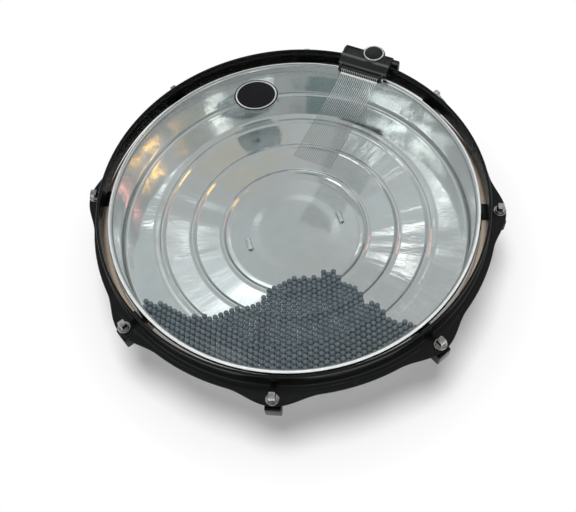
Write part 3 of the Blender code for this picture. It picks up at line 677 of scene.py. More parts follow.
@dataclass(frozen=True)
class ZincFinish:
    """Galvanised sheet that was spun on a lathe: faint spangle, spoke-like streaks and lathe lines."""

    name: str = "zinc_sheet"
    slot: Slot = Slot.ZINC
    cool: Colour = (0.735, 0.765, 0.770)
    warm: Colour = (0.785, 0.785, 0.770)
    cloud: Pair = (14.0, 2.0)
    crystal: Colour = (0.50, 0.53, 0.55)
    crystal_share: float = 0.10
    crystal_gloss: float = 0.02
    rubbed: Colour = (0.78, 0.79, 0.79)
    scuff: Pair = (60.0, 0.30)
    spangle_scale: float = 95.0
    streak_scale: float = 12.0
    streak_span: Pair = (0.30, 0.70)
    streak_depth: float = 0.00030
    streak_from: Pair = (0.066, 0.110)
    roughness: Pair = (0.08, 0.15)
    grain: float = 420.0
    lathe_share: float = 0.25
    depth: float = 0.000004

    @cache
    def material(self) -> Material:
        """Build the material once.

        Returns:
            The material.
        """
        made = Recipe(self.name)
        spoke = made.group(spoke_group(), Scale=self.streak_scale)
        spangle = made.node("ShaderNodeTexVoronoi", {"Vector": made.place, "Scale": self.spangle_scale})
        crystal = made.node("ShaderNodeSeparateColor", {0: spangle.outputs["Color"]}).outputs[0]
        tone = made.blend(made.cloud(*self.cloud), self.cool, self.warm)
        tone = made.blend(made.spread(crystal, 0.0, self.crystal_share), tone, self.crystal)
        gloss = made.spread(spoke["Streak"], *self.roughness, *self.streak_span)
        uneven = made.spread(crystal, -self.crystal_gloss, self.crystal_gloss)
        outwards = made.spread(spoke["Radius"], 0.0, 1.0, *self.streak_from)
        wave = made.maths("MULTIPLY", made.maths("SUBTRACT", spoke["Streak"], 0.5), outwards)
        lines = made.maths("MULTIPLY", spoke["Turning"], self.lathe_share)
        height = made.maths("ADD", made.tooth(self.grain), lines)
        return made.wire(Base_Color=made.blend(made.rub(*self.scuff), tone, self.rubbed), Metallic=1.0,
                         Roughness=made.maths("ADD", gloss, uneven),
                         Normal=made.bump(height, self.depth, Normal=made.bump(wave, self.streak_depth)))


@dataclass(frozen=True)
class FilmFinish:
    """Clear plastic film: see-through, with a reflection that grows at a slant and faint rubbed haze."""

    name: str = "clear_plastic"
    slot: Slot = Slot.FILM
    clear: Colour = (0.975, 0.985, 0.985)
    index: float = 1.55
    sheen: tuple[Colour, Colour] = ((0.94, 0.96, 0.96), (0.98, 0.98, 0.98))
    cloud: Pair = (25.0, 1.5)
    scuff: Pair = (80.0, 0.5)
    scuff_gloss: float = 0.08
    roughness: Pair = (0.03, 0.07)

    @cache
    def material(self) -> Material:
        """Build the material once.

        Returns:
            The material.
        """
        made = Recipe(self.name)
        cloud = made.cloud(*self.cloud)
        haze = made.maths("MULTIPLY", made.rub(*self.scuff), self.scuff_gloss)
        clear = made.node("ShaderNodeBsdfTransparent", {"Color": (*self.clear, 1.0)}).outputs[0]
        slant = made.node("ShaderNodeFresnel", {"IOR": self.index}).outputs[0]
        outside = made.maths("SUBTRACT", 1.0, made.node("ShaderNodeNewGeometry").outputs["Backfacing"])
        made.mix_out(made.maths("MULTIPLY", slant, outside), clear, made.shader.outputs[0])
        return made.wire(Base_Color=made.blend(cloud, *self.sheen), Metallic=1.0,
                         Roughness=made.maths("ADD", made.spread(cloud, *self.roughness), haze))


@dataclass(frozen=True)
class CollarHighlightFinish:
    """Painted highlight: a milky white, half see-through band on the film where it goes over the edge,
    standing in for the bright reflection there, fainter towards +Y.
    """

    name: str = "painted_collar_highlight"
    slot: Slot = Slot.FILM
    colour: Colour = (0.86, 0.88, 0.88)
    second: Colour = (0.93, 0.94, 0.94)
    cloud: Pair = (120.0, 1.8)
    cover: Pair = (0.62, 0.90)
    far_share: float = 0.50
    fade: Pair = (0.15, -0.15)
    roughness: Pair = (0.18, 0.30)

    @cache
    def material(self) -> Material:
        """Build the material once.

        Returns:
            The material.
        """
        made = Recipe(self.name)
        cloud = made.cloud(*self.cloud)
        # The painted highlight grows weaker towards +Y.
        along = made.node("ShaderNodeSeparateXYZ", {"Vector": made.place}).outputs["Y"]
        near = made.spread(along, self.far_share, 1.0, *self.fade)
        return made.wire(Base_Color=made.blend(cloud, self.colour, self.second),
                         Alpha=made.maths("MULTIPLY", made.spread(cloud, *self.cover), near),
                         Roughness=made.spread(cloud, *self.roughness))


@dataclass(frozen=True)
class BeadFinish:
    """Slate plastic beads. Each has its own tone, kept in the mesh attribute tone."""

    name: str = "slate_plastic"
    slot: Slot = Slot.BEADS
    dark: Colour = (0.065, 0.088, 0.106)
    pale: Colour = (0.112, 0.146, 0.171)
    own_share: float = 0.75
    cloud: Pair = (350.0, 1.4)
    grain: float = 1500.0
    depth: float = 0.00001
    roughness: Pair = (0.30, 0.42)
    coat: Pair = (0.30, 0.10)

    @cache
    def material(self) -> Material:
        """Build the material once.

        Returns:
            The material.
        """
        made = Recipe(self.name)
        cloud = made.cloud(*self.cloud)
        own = made.maths("MULTIPLY", made.mark("tone"), self.own_share)
        mix = made.maths("ADD", own, made.maths("MULTIPLY", cloud, 1 - self.own_share))
        weight, roughness = self.coat
        return made.wire(Base_Color=made.blend(mix, self.dark, self.pale),
                         Roughness=made.spread(cloud, *self.roughness),
                         Normal=made.bump(made.tooth(self.grain), self.depth),
                         Coat_Weight=weight, Coat_Roughness=roughness)


ZINC = ZincFinish()
FILM = FilmFinish()
COLLAR_HIGHLIGHT = CollarHighlightFinish()
SLATE = BeadFinish()
STRAP = Finish("dull_zinc", Slot.STRAP, (0.66, 0.68, 0.69), (0.80, 0.81, 0.81), (0.22, 0.36),
               metallic=0.78, mottle=160.0, grain=900.0, depth=0.00003, worn=(0.42, 0.42, 0.42), scuff=0.6)
HOOP = Finish("tan_metal", Slot.HOOP, (0.58, 0.45, 0.35), (0.70, 0.58, 0.48), (0.30, 0.42),
              metallic=0.55, mottle=60.0, grain=1200.0, worn=(0.74, 0.68, 0.62), scuff=0.4)
PAINT = Finish("black_enamel", Slot.PAINT, (0.0035, 0.0040, 0.0038), (0.0060, 0.0068, 0.0064),
               (0.16, 0.24), specular=0.16, mottle=45.0, grain=800.0, worn=(0.03, 0.03, 0.03), scuff=0.3)
# Rounded edges marked in the attribute edge turn lighter here: a painted highlight.
MOULDING = Finish("black_plastic", Slot.MOULDING, (0.010, 0.011, 0.011), (0.016, 0.017, 0.017),
                  (0.34, 0.46), specular=0.22, mottle=120.0, grain=3200.0, depth=0.00002,
                  worn=(0.05, 0.05, 0.05), scuff=0.35, scuff_scale=220.0, edge=(0.10, 0.105, 0.10),
                  painted_light_share=0.85)
GLOSS = Finish("black_lacquer", Slot.GLOSS, (0.004, 0.004, 0.005), (0.007, 0.007, 0.008), (0.10, 0.18),
               specular=0.14, mottle=90.0, grain=1500.0, depth=0.000004, worn=(0.02, 0.02, 0.02), scuff=0.3)
BACKING = Finish("foil_backing", Slot.GLOSS, (0.80, 0.84, 0.86), (0.90, 0.93, 0.94), (0.12, 0.24),
                 metallic=1.0, mottle=110.0, grain=900.0, worn=(0.80, 0.82, 0.84), scuff=0.6)
CHROME = Finish("bright_chrome", Slot.CHROME, (0.78, 0.775, 0.765), (0.86, 0.85, 0.83), (0.07, 0.16),
                metallic=1.0, mottle=300.0, grain=2200.0, depth=0.000004, worn=(0.60, 0.58, 0.55), scuff=0.4)
# Painted light: the attribute edge turns the tops of the curls near white as a painted highlight, while their
# undersides stay dark as painted shade, darker towards the free ends.
WIRE = Finish("steel_wire_painted_light", Slot.WIRE, (0.17, 0.175, 0.18), (0.23, 0.235, 0.24), (0.25, 0.38),
              metallic=0.45, mottle=400.0, grain=3000.0, depth=0.000006, worn=(0.45, 0.45, 0.45), scuff=0.2,
              edge=(0.96, 0.97, 0.97), painted_light_share=1.0)
# Chrome whose colour swings from near black to bright in a mottle: painted reflection of dark and bright
# surroundings.
ROD_PAINTED_REFLECTION = Finish("rod_chrome_painted_reflection", Slot.CHROME, (0.06, 0.06, 0.06), (0.78, 0.765, 0.74), (0.05, 0.12),
             metallic=1.0, mottle=170.0, grain=2200.0, depth=0.000004, worn=(0.12, 0.12, 0.12), scuff=0.7)

AnyFinish = Finish | ZincFinish | FilmFinish | CollarHighlightFinish | BeadFinish


def dress(piece: Piece, finish: AnyFinish, *nodes: str, body: str = Body.DRUM.value) -> None:
    """Give a piece its finish, its body and the frame's nodes that it stands for.

    Args:
        piece: The finished mesh object.
        finish: Its finish.
        nodes: Names of the nodes it replaces.
        body: Name of the body it rides on.
    """
    piece.data.materials.clear()
    piece.data.materials.append(finish.material())
    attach(piece, body)
    if nodes:
        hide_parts(*nodes)
    LOG.info("%s rides on %s in %s, %d faces", piece.name, body, finish.name, len(piece.data.polygons))


def show(shape: Surface, name: str, finish: AnyFinish, *nodes: str, body: str = Body.DRUM.value) -> None:
    """Make a surface a piece of its own and dress it."""
    dress(shape.as_object(name), finish, *nodes, body=body)


def redress(node: str, finish: AnyFinish) -> None:
    """Give a node that stays as it is a procedural finish.

    Args:
        node: Name of the node.
        finish: Its finish.
    """
    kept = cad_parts[node]
    kept.data.materials.clear()
    kept.data.materials.append(finish.material())
    LOG.info("%s stays, in %s", node, finish.name)


@dataclass(frozen=True)
class Layout:
    """Levels and radii that several pieces share."""

    play: float = 0.0003
    pan_floor: float = 0.0254
    outer_floor: float = 0.0409
    edge_z: float = 0.0812
    edge_r: float = 0.1752
    edge_radius: float = 0.0027
    pan_outside: float = 0.1734
    head_z: float = 0.0845
    flesh_in: float = 0.1788
    flesh_top: float = 0.0702
    flesh_bottom: float = 0.0595
    rim_in: float = 0.1827
    rim_out: float = 0.1852
    rim_top: float = 0.0960
    flange_under: float = 0.0717
    rod_r: float = 0.19595
    claw_bottom: float = 0.0515
    lug_count: int = 8
    first_lug: float = math.radians(22.5)
    clip_angle: float = math.radians(46.6)

    def lugs(self) -> list[float]:
        """Angles of the lugs about the axis."""
        return [self.first_lug + TAU * k / self.lug_count for k in range(self.lug_count)]

    def at_lugs(self, tool: Surface) -> Surface:
        """Copies of a shape made on the X axis, one at each lug."""
        return reduce(add, [tool.moved(Matrix.Rotation(angle, 4, "Z")) for angle in self.lugs()])

    def in_clip(self) -> Matrix:
        """Turn from the clip's own axes, X along the radius, to the drum's."""
        return Matrix.Rotation(self.clip_angle, 4, "Z")


@dataclass
class Pan:
    """The lid, turned over: dished floor with pressed rings, a wall and a rolled edge."""

    layout: Layout
    sheet: float = 0.0009
    wall_radius: float = 0.1725
    fillet: float = 0.0040
    dish_depth: float = 0.0155
    dish_inner: float = 0.0660
    dish_outer: float = 0.1420
    rings: tuple[float, ...] = (0.0740, 0.1040, 0.1340)
    ring_width: float = 0.0080
    ring_height: float = 0.0012
    boss_radius: float = 0.0365
    boss_rise: float = 0.0006
    boss_slope: float = 0.0100
    crease: float = 0.0040
    fine_half: float = 0.0044
    buckle: float = 0.00013
    buckled: tuple[float, ...] = (0.060, 0.090, 0.152, 0.166)
    bow: float = 0.0005
    bow_ripple: float = 0.18
    wave_counts: tuple[int, ...] = (5, 9, 14, 19, 27, 34)
    wave_shares: tuple[float, ...] = (0.9, 0.8, 0.7, 0.6, 0.5, 0.35)
    wave_twist: float = 60.0
    steps: int = 256
    seed: int = 7

    def foot_z(self) -> float:
        """Height at which the wall's straight part starts."""
        return self.layout.outer_floor + self.fillet

    def floor(self, radius: Array) -> Array:
        """Height of the floor's inside at a radius.

        A ramp from the inner to the outer dish radius and a step at the boss, both softened over
        the crease width by a running mean, plus a raised cosine at each pressed ring and the fillet
        at the wall.

        Args:
            radius: Distances from the axis.

        Returns:
            Heights of the same shape.
        """
        near = radius[..., None] + np.linspace(-0.5, 0.5, 15) * self.crease
        ramp = np.clip((near - self.dish_inner) / (self.dish_outer - self.dish_inner), 0, 1)
        step = np.clip((self.boss_radius + self.boss_slope - near) / self.boss_slope, 0, 1)
        height = (self.dish_depth * ramp + self.boss_rise * step).mean(axis=-1)
        off = (radius[..., None] - np.array(self.rings)) / (self.ring_width / 2)
        ridge = 0.5 + 0.5 * np.cos(math.pi * np.clip(off, -1, 1))
        into_foot = np.clip(radius - self.wall_radius + self.fillet, 0, self.fillet)
        height = height + self.fillet - np.sqrt(self.fillet**2 - into_foot**2)
        return self.layout.pan_floor + height + self.ring_height * ridge.sum(axis=-1)

    def waves(self, along: Array, turn: Array) -> Array:
        """Slight unevenness round the axis, as sheet has after pressing.

        The sum of cosines of the angle with fixed counts and seeded phases, which drift along the
        section.

        Args:
            along: Distances along the section.
            turn: Angles about the axis.

        Returns:
            Values about zero.
        """
        draw = np.random.default_rng(self.seed)
        counts = np.array(self.wave_counts)
        phase = draw.uniform(0, TAU, counts.size)
        twist = draw.uniform(-self.wave_twist, self.wave_twist, counts.size)
        angle = turn[..., None] * counts + phase + along[..., None] * twist
        return (np.array(self.wave_shares) * np.cos(angle)).sum(axis=-1)

    def buckles(self, radius: Array, turn: Array) -> Array:
        """Heights that the waves add to the dish, zero at the boss and at the wall."""
        return self.buckle * np.interp(radius, self.buckled, (0, 1, 1, 0)) * self.waves(radius, turn)

    def bowed(self, height: Array, turn: Array) -> Array:
        """How far the wall bows inwards: 4 b t (1 - t) up its height, uneven by the waves."""
        t = np.clip((height - self.foot_z()) / (self.layout.edge_z - self.foot_z()), 0, 1)
        return 4 * self.bow * t * (1 - t) * (1 + self.bow_ripple * self.waves(2 * height, turn))

    def radii(self) -> Array:
        """Radii of the floor's rows, closer together at rings and creases.

        Returns:
            The radii, in order.
        """
        near = np.linspace(-self.fine_half, self.fine_half, 17)
        creases = (self.boss_radius + self.boss_slope / 2, self.dish_inner, self.dish_outer)
        fine = np.concatenate([near + r for r in (*self.rings, *creases)])
        broad = np.linspace(0, self.wall_radius - self.fillet, 60)
        return np.unique(np.round(np.concatenate([fine, broad]), 5))

    def profile(self) -> Array:
        """Section of the sheet, from the axis over the inside and the edge, back below.

        Returns:
            Points (radius, height).
        """
        at, radius = self.layout, self.radii()
        foot = (self.wall_radius - self.fillet, self.foot_z())
        inside = np.column_stack([radius, self.floor(radius)])
        wall_z = np.linspace(self.foot_z(), at.edge_z, 22)[1:-1]
        wall = np.column_stack([self.wall_radius + 0 * wall_z, wall_z])
        tuck = -90 - math.degrees(math.asin(1 - self.sheet / at.edge_radius))
        edge = arc(at.edge_radius, at.edge_r, at.edge_z, 180, tuck, 26)
        under = arc(self.fillet + self.sheet, *foot, 0, -90, 8)
        below = (inside - (0, self.sheet))[::-1]
        return np.vstack([inside, arc(self.fillet, *foot, -90, 0, 8)[1:], wall, edge, under, below[1:]])

    def surface(self) -> Surface:
        """The profile carried round the axis, with the floor's buckles and the wall's bow added.

        Returns:
            The sheet, without its slots.
        """
        turn = angles(self.steps)[None]
        radius, height = (column[:, None] + 0 * turn for column in self.profile().T)
        on_floor = height < self.foot_z()
        on_wall = np.abs(radius - self.wall_radius) < WELD
        lifted = height + on_floor * self.buckles(radius, turn)
        return grid(polar(radius - on_wall * self.bowed(height, turn), turn, lifted))

    def build(self, handle: "Handle") -> None:
        """Make the pan and cut the slots for the handle's ends.

        Args:
            handle: The strap whose ends come up through the pan.
        """
        pan = self.surface().as_object("lid_pan")
        half_gap = handle.sheet / 2 + self.layout.play
        half_width = handle.tab_width / 2 + self.layout.play
        low, high = self.layout.pan_floor - 2 * self.sheet, self.layout.pan_floor + self.sheet
        slots = [block((x - half_gap, -half_width, low), (x + half_gap, half_width, high))
                 for x in (-handle.span, handle.span)]
        work(pan, Join.CUT, *slots)
        dress(pan, ZINC, "pan")


@dataclass
class Handle:
    """The lid's strap handle, which the drum stands on. Its ends are clenched inside the pan."""

    layout: Layout
    drop: float = 0.0245
    sheet: float = 0.0016
    span: float = 0.0470
    crown: float = 0.0300
    width: float = 0.0280
    knee_rise: float = 0.0038
    tab_width: float = 0.0140
    tab_length: float = 0.0042
    tab_curl: float = 0.0012
    tab_taper: float = 0.25
    shoulder: float = 0.0050
    bend: float = 0.0022
    edge: float = 0.0006

    def route(self) -> tuple[Array, Array]:
        """Middle line of the strap's right half and its width there.

        The width falls evenly from the shoulder to the neck, and by sqrt(1 - k t^4) over the tab,
        where t runs from 0 to 1 along it.

        Returns:
            Points (x, z) from the crown's middle to the tab's end, and widths.
        """
        half = self.sheet / 2
        tab_z = self.layout.pan_floor + self.layout.play + half
        low = self.drop - self.shoulder
        knee = (self.span - self.crown) / 2
        corners = np.array([(0.0, half), (self.crown, half), (self.crown + knee, half + self.knee_rise),
                            (self.span - half, low - self.shoulder), (self.span, low),
                            (self.span, tab_z + self.tab_curl),
                            (self.span + self.tab_length / 2, tab_z + self.tab_curl),
                            (self.span + self.tab_length, tab_z)])
        path = soft_path(corners, self.bend)
        neck = self.drop - self.layout.play - half
        width = np.interp(path[:, 1], (low, neck), (self.width, self.tab_width))
        tip = np.clip((path[:, 0] - self.span) / self.tab_length, 0, 1)
        return path, width * np.sqrt(1 - self.tab_taper * tip**4)

    def build(self) -> None:
        """Make the strap: a rounded flat section carried along its line, square to it."""
        path, width = self.route()
        path = np.vstack([path[::-1] * (-1, 1), path[1:]])
        width = np.concatenate([width[::-1], width[1:]])
        ahead = np.gradient(path, axis=0)
        ahead /= np.linalg.norm(ahead, axis=1, keepdims=True)
        half_tab, half_sheet = self.tab_width / 2, self.sheet / 2
        across, lift = soft_loop(box_outline(-half_tab, half_tab, -half_sheet, half_sheet), self.edge, 4).T
        side = across + np.sign(across) * (width[:, None] / 2 - half_tab)
        x, z = path[:, :1] - ahead[:, 1:] * lift, path[:, 1:] + ahead[:, :1] * lift
        show(grid(np.stack([x, side, z], axis=-1), caps=True), "strap_handle", STRAP, "handle")


@dataclass
class Head:
    """The clear film over the pan's edge and the tan hoop that holds its skirt."""

    layout: Layout
    film: float = 0.0003
    hoop_width: float = 0.0086
    hoop_edge: float = 0.0011
    collar_gap: float = 0.00003
    collar_skin: float = 0.00006
    collar_arc: Pair = (95.0, 60.0)
    steps: int = 224

    def film_profile(self) -> Array:
        """Section of the film: flat over the drum, round over the edge and down behind the hoop.

        Returns:
            Points (radius, height).
        """
        at = self.layout
        inner = at.edge_radius + at.play
        outer = inner + self.film
        flat = np.linspace(0, at.edge_r, 14)[:-1]
        top, low = (np.column_stack([flat, at.edge_z + r + 0 * flat]) for r in (outer, inner))
        over = arc(outer, at.edge_r, at.edge_z, 90, 0, 12)
        back = arc(inner, at.edge_r, at.edge_z, 0, 90, 12)
        hem = [(at.edge_r + outer, at.flesh_bottom), (at.edge_r + inner, at.flesh_bottom)]
        return np.vstack([top, over, hem, back, low[::-1]])

    def collar_profile(self) -> Array:
        """Section of a thin skin on the film where it goes over the edge, which carries a painted highlight.

        Returns:
            Points (radius, height).
        """
        at = self.layout
        low = at.edge_radius + at.play + self.film + self.collar_gap
        skin = arc(low + self.collar_skin, at.edge_r, at.edge_z, *self.collar_arc, 14)
        return np.vstack([skin, arc(low, at.edge_r, at.edge_z, *reversed(self.collar_arc), 14)])

    def build(self) -> None:
        """Make the film, a thin collar skin with a painted highlight, and the hoop, a bar with soft corners.
        """
        at = self.layout
        show(turned(self.film_profile(), self.steps), "clear_head", FILM, "head_film")
        # A skin over the film's edge, painted with a white highlight.
        show(turned(self.collar_profile(), self.steps, ring=True), "head_collar_highlight", COLLAR_HIGHLIGHT)
        hoop = box_outline(at.flesh_in, at.flesh_in + self.hoop_width, at.flesh_bottom, at.flesh_top)
        hoop = soft_loop(hoop, self.hoop_edge)
        show(turned(hoop, self.steps, ring=True), "head_hoop", HOOP, "flesh_hoop")


@dataclass
class Rim:
    """The black counterhoop: a wall with a round lip, a flare, eight ears and a foot below each."""

    layout: Layout
    flare: float = 0.0078
    ear_half_span: float = 0.0420
    ear_lip: float = 0.0062
    foot_pad: float = 0.0030
    foot_width: float = 0.0165
    foot_leg: float = 0.0035
    foot_rise: float = 0.0032
    foot_round: float = 0.0012
    foot_edge: float = 0.0003
    seat_z: float = 0.0739
    seat_radius: float = 0.0063
    bore_radius: float = 0.0030
    columns: int = 64
    crowding: float = 0.65

    def section(self) -> Array:
        """Section between the ears: a round lip, a wall, and a flare of two arcs about one hub.

        Returns:
            A closed loop of (radius, height).
        """
        at = self.layout
        half = (at.rim_out - at.rim_in) / 2
        middle = at.rim_in + half
        hub_r, hub_z = middle + self.flare, at.flange_under + half + self.flare
        wall_z = np.linspace(at.rim_top - half, hub_z, 6)[1:-1]
        lip = arc(half, middle, at.rim_top - half, 180, 0, 13)
        outside, inside = (np.column_stack([r + 0 * wall_z, wall_z]) for r in (at.rim_out, at.rim_in))
        outer = arc(self.flare - half, hub_r, hub_z, 180, 270, 20)
        edge = arc(half, hub_r, hub_z - self.flare, 90, -90, 9)[1:-1]
        inner = arc(self.flare + half, hub_r, hub_z, 270, 180, 20)
        return np.vstack([lip, outside, outer, edge, inner, inside[::-1]])

    def surface(self) -> Surface:
        """The section carried round the axis, its flange drawn out at each lug.

        What lies beyond the wall by b goes out to b (1 + s k), where s is the squared cosine that
        falls from 1 at a rod to 0 at the ear's end, and k brings the edge to the ear's lip. The
        columns crowd at the ears: they lie at (1 - c) u + c u^3 of half a gap for even steps of u.

        Returns:
            The rim without feet, seats and bores.
        """
        at, (reach, height) = self.layout, self.section().T
        u = np.linspace(-1, 1, self.columns, endpoint=False)
        near = math.pi / at.lug_count * ((1 - self.crowding) * u + self.crowding * u**3)
        turn = (np.array(at.lugs())[:, None] + near).reshape(-1, 1)
        step = TAU / at.lug_count
        off = np.abs((turn - at.first_lug + step / 2) % step - step / 2) * at.rod_r / self.ear_half_span
        swell = np.cos(np.minimum(off, 1.0) * math.pi / 2) ** 2
        stretch = (at.rod_r + self.ear_lip - at.rim_out) / self.flare - 1
        radius = reach + np.maximum(reach - at.rim_out, 0) * swell * stretch
        return grid(polar(radius, turn, height), ring=True)

    def foot(self) -> Surface:
        """A pad on the hoop with a leg up into the flare.

        Returns:
            The foot on the X axis.
        """
        at = self.layout
        low = at.flesh_top + at.play
        leg_out, leg_top = at.rim_out + self.foot_leg, at.flange_under + self.foot_rise
        pad_in, pad_top = at.flesh_in + at.play, low + self.foot_pad
        corners = np.array([(pad_in, low), (leg_out, low), (leg_out, leg_top), (at.rim_out, leg_top),
                            (at.rim_out, pad_top), (pad_in, pad_top)])
        return prism(soft_loop(corners, self.foot_round, 4), 0, self.foot_width / 2, self.foot_edge)

    def build(self) -> None:
        """Make the rim with its feet, washer seats and rod holes."""
        at = self.layout
        rim = self.surface().as_object("black_rim")
        holes = ((self.seat_radius, self.seat_z), (self.bore_radius, at.flesh_top))
        over_rod = Matrix.Translation((at.rod_r, 0, 0))
        work(rim, Join.ADD, at.at_lugs(self.foot()))
        work(rim, Join.CUT, *(at.at_lugs(cylinder(r, low, at.rim_top).moved(over_rod)) for r, low in holes))
        dress(rim, PAINT, "rim")


@dataclass
class Lugs:
    """At each lug a claw, a tension rod, its washer and its nut."""

    layout: Layout
    rod_radius: float = 0.0027
    rod_tail: float = 0.0490
    rod_steps: int = 32
    thread_pitch: float = 0.0008
    thread_depth: float = 0.00035
    collar_low: float = 0.0757
    collar_top: float = 0.0773
    collar_radius: float = 0.0050
    collar_soft: float = 0.0003
    drive_half: float = 0.0032
    drive_top: float = 0.0833
    drive_rows: tuple[Pair, ...] = ((1.06, 0.0), (1.0, 0.06), (1.0, 0.86), (0.97, 0.95), (0.90, 1.0),
                                    (0.0, 1.0))
    washer_low: float = 0.0742
    washer_top: float = 0.0754
    washer_radius: float = 0.0060
    washer_soft: float = 0.0004
    nut_half: float = 0.0049
    nut_height: float = 0.0050
    claw_width: float = 0.0145
    claw_depth: float = 0.0146
    arm_top: float = 0.0580
    block_top: float = 0.0662
    claw_round: float = 0.0020
    claw_edge: float = 0.0011

    def rod(self) -> Surface:
        """Threaded shank, round collar and a square drive head.

        The drive's radius at angle a is h / (|cos a|^8 + |sin a|^8)^(1/8), a square with soft
        corners, drawn in at its crown.

        Returns:
            The rod along Z.
        """
        turn = angles(self.rod_steps)
        tail = ring_rows(np.array([(0, self.rod_tail)]), self.rod_steps)
        shank = threaded(self.rod_radius, self.rod_tail, self.collar_low, self.thread_pitch,
                         self.thread_depth, self.rod_steps)
        collar = soft_disc(self.collar_radius, self.collar_low, self.collar_top, self.collar_soft)
        square = self.drive_half / (np.abs(np.cos(turn)) ** 8 + np.abs(np.sin(turn)) ** 8) ** 0.125
        share, rise = np.array(self.drive_rows).T[..., None]
        drive = polar(share * square, turn, self.collar_top + rise * (self.drive_top - self.collar_top))
        return grid(np.vstack([tail, shank, ring_rows(collar, self.rod_steps), drive]))

    def washer(self) -> Surface:
        """A flat ring with soft edges."""
        bore = self.rod_radius + self.layout.play
        outline = box_outline(bore, self.washer_radius, self.washer_low, self.washer_top)
        return turned(soft_loop(outline, self.washer_soft, 4), 40, ring=True)

    def claw(self) -> Piece:
        """A block round the rod with an arm that hooks up under the pan's edge, bored for rod and nut.

        Returns:
            The claw, X from the rod.
        """
        at, play = self.layout, self.layout.play
        hook_in = at.pan_outside + play - at.rod_r
        hook_out = at.edge_r + at.edge_radius - play - at.rod_r
        hook_top = at.edge_z - at.edge_radius - play
        half = self.claw_depth / 2
        corners = np.array([(hook_in, at.claw_bottom), (half, at.claw_bottom), (half, self.block_top),
                            (-half, self.block_top), (-half, self.arm_top), (hook_out, self.arm_top),
                            (hook_out, hook_top), (hook_in, hook_top)])
        shape = prism(soft_loop(corners, self.claw_round), 0, self.claw_width / 2, self.claw_edge)
        piece = shape.as_object("claw_blank")
        below, pocket = at.claw_bottom - TOOL_PAST, self.nut_half + play
        top = at.claw_bottom + self.nut_height + 2 * play
        work(piece, Join.CUT, cylinder(self.rod_radius + 2 * play, below, self.block_top + TOOL_PAST),
             block((-pocket, -pocket, below), (pocket, pocket, top)))
        return piece

    def build(self) -> None:
        """Make one set of shapes and set it at each lug."""
        blank, rod, washer = self.claw(), self.rod(), self.washer()
        for number, angle in enumerate(self.layout.lugs(), start=1):
            place = Matrix.Rotation(angle, 4, "Z") @ Matrix.Translation((self.layout.rod_r, 0, 0))
            mesh = blank.data.copy()
            mesh.transform(place)
            claw = bpy.data.objects.new(f"black_claw_{number}", mesh)
            bpy.context.scene.collection.objects.link(claw)
            dress(claw, PAINT, f"claw_{number}")
            show(washer.moved(place), f"washer_{number}", ROD_PAINTED_REFLECTION, f"rod_washer_{number}")
            own = f"tension_rod_{number}"
            show(rod.moved(place), f"square_rod_{number}", ROD_PAINTED_REFLECTION, own, body=own)
            redress(f"rod_nut_{number}", STRAP)
        bpy.data.objects.remove(blank, do_unlink=True)


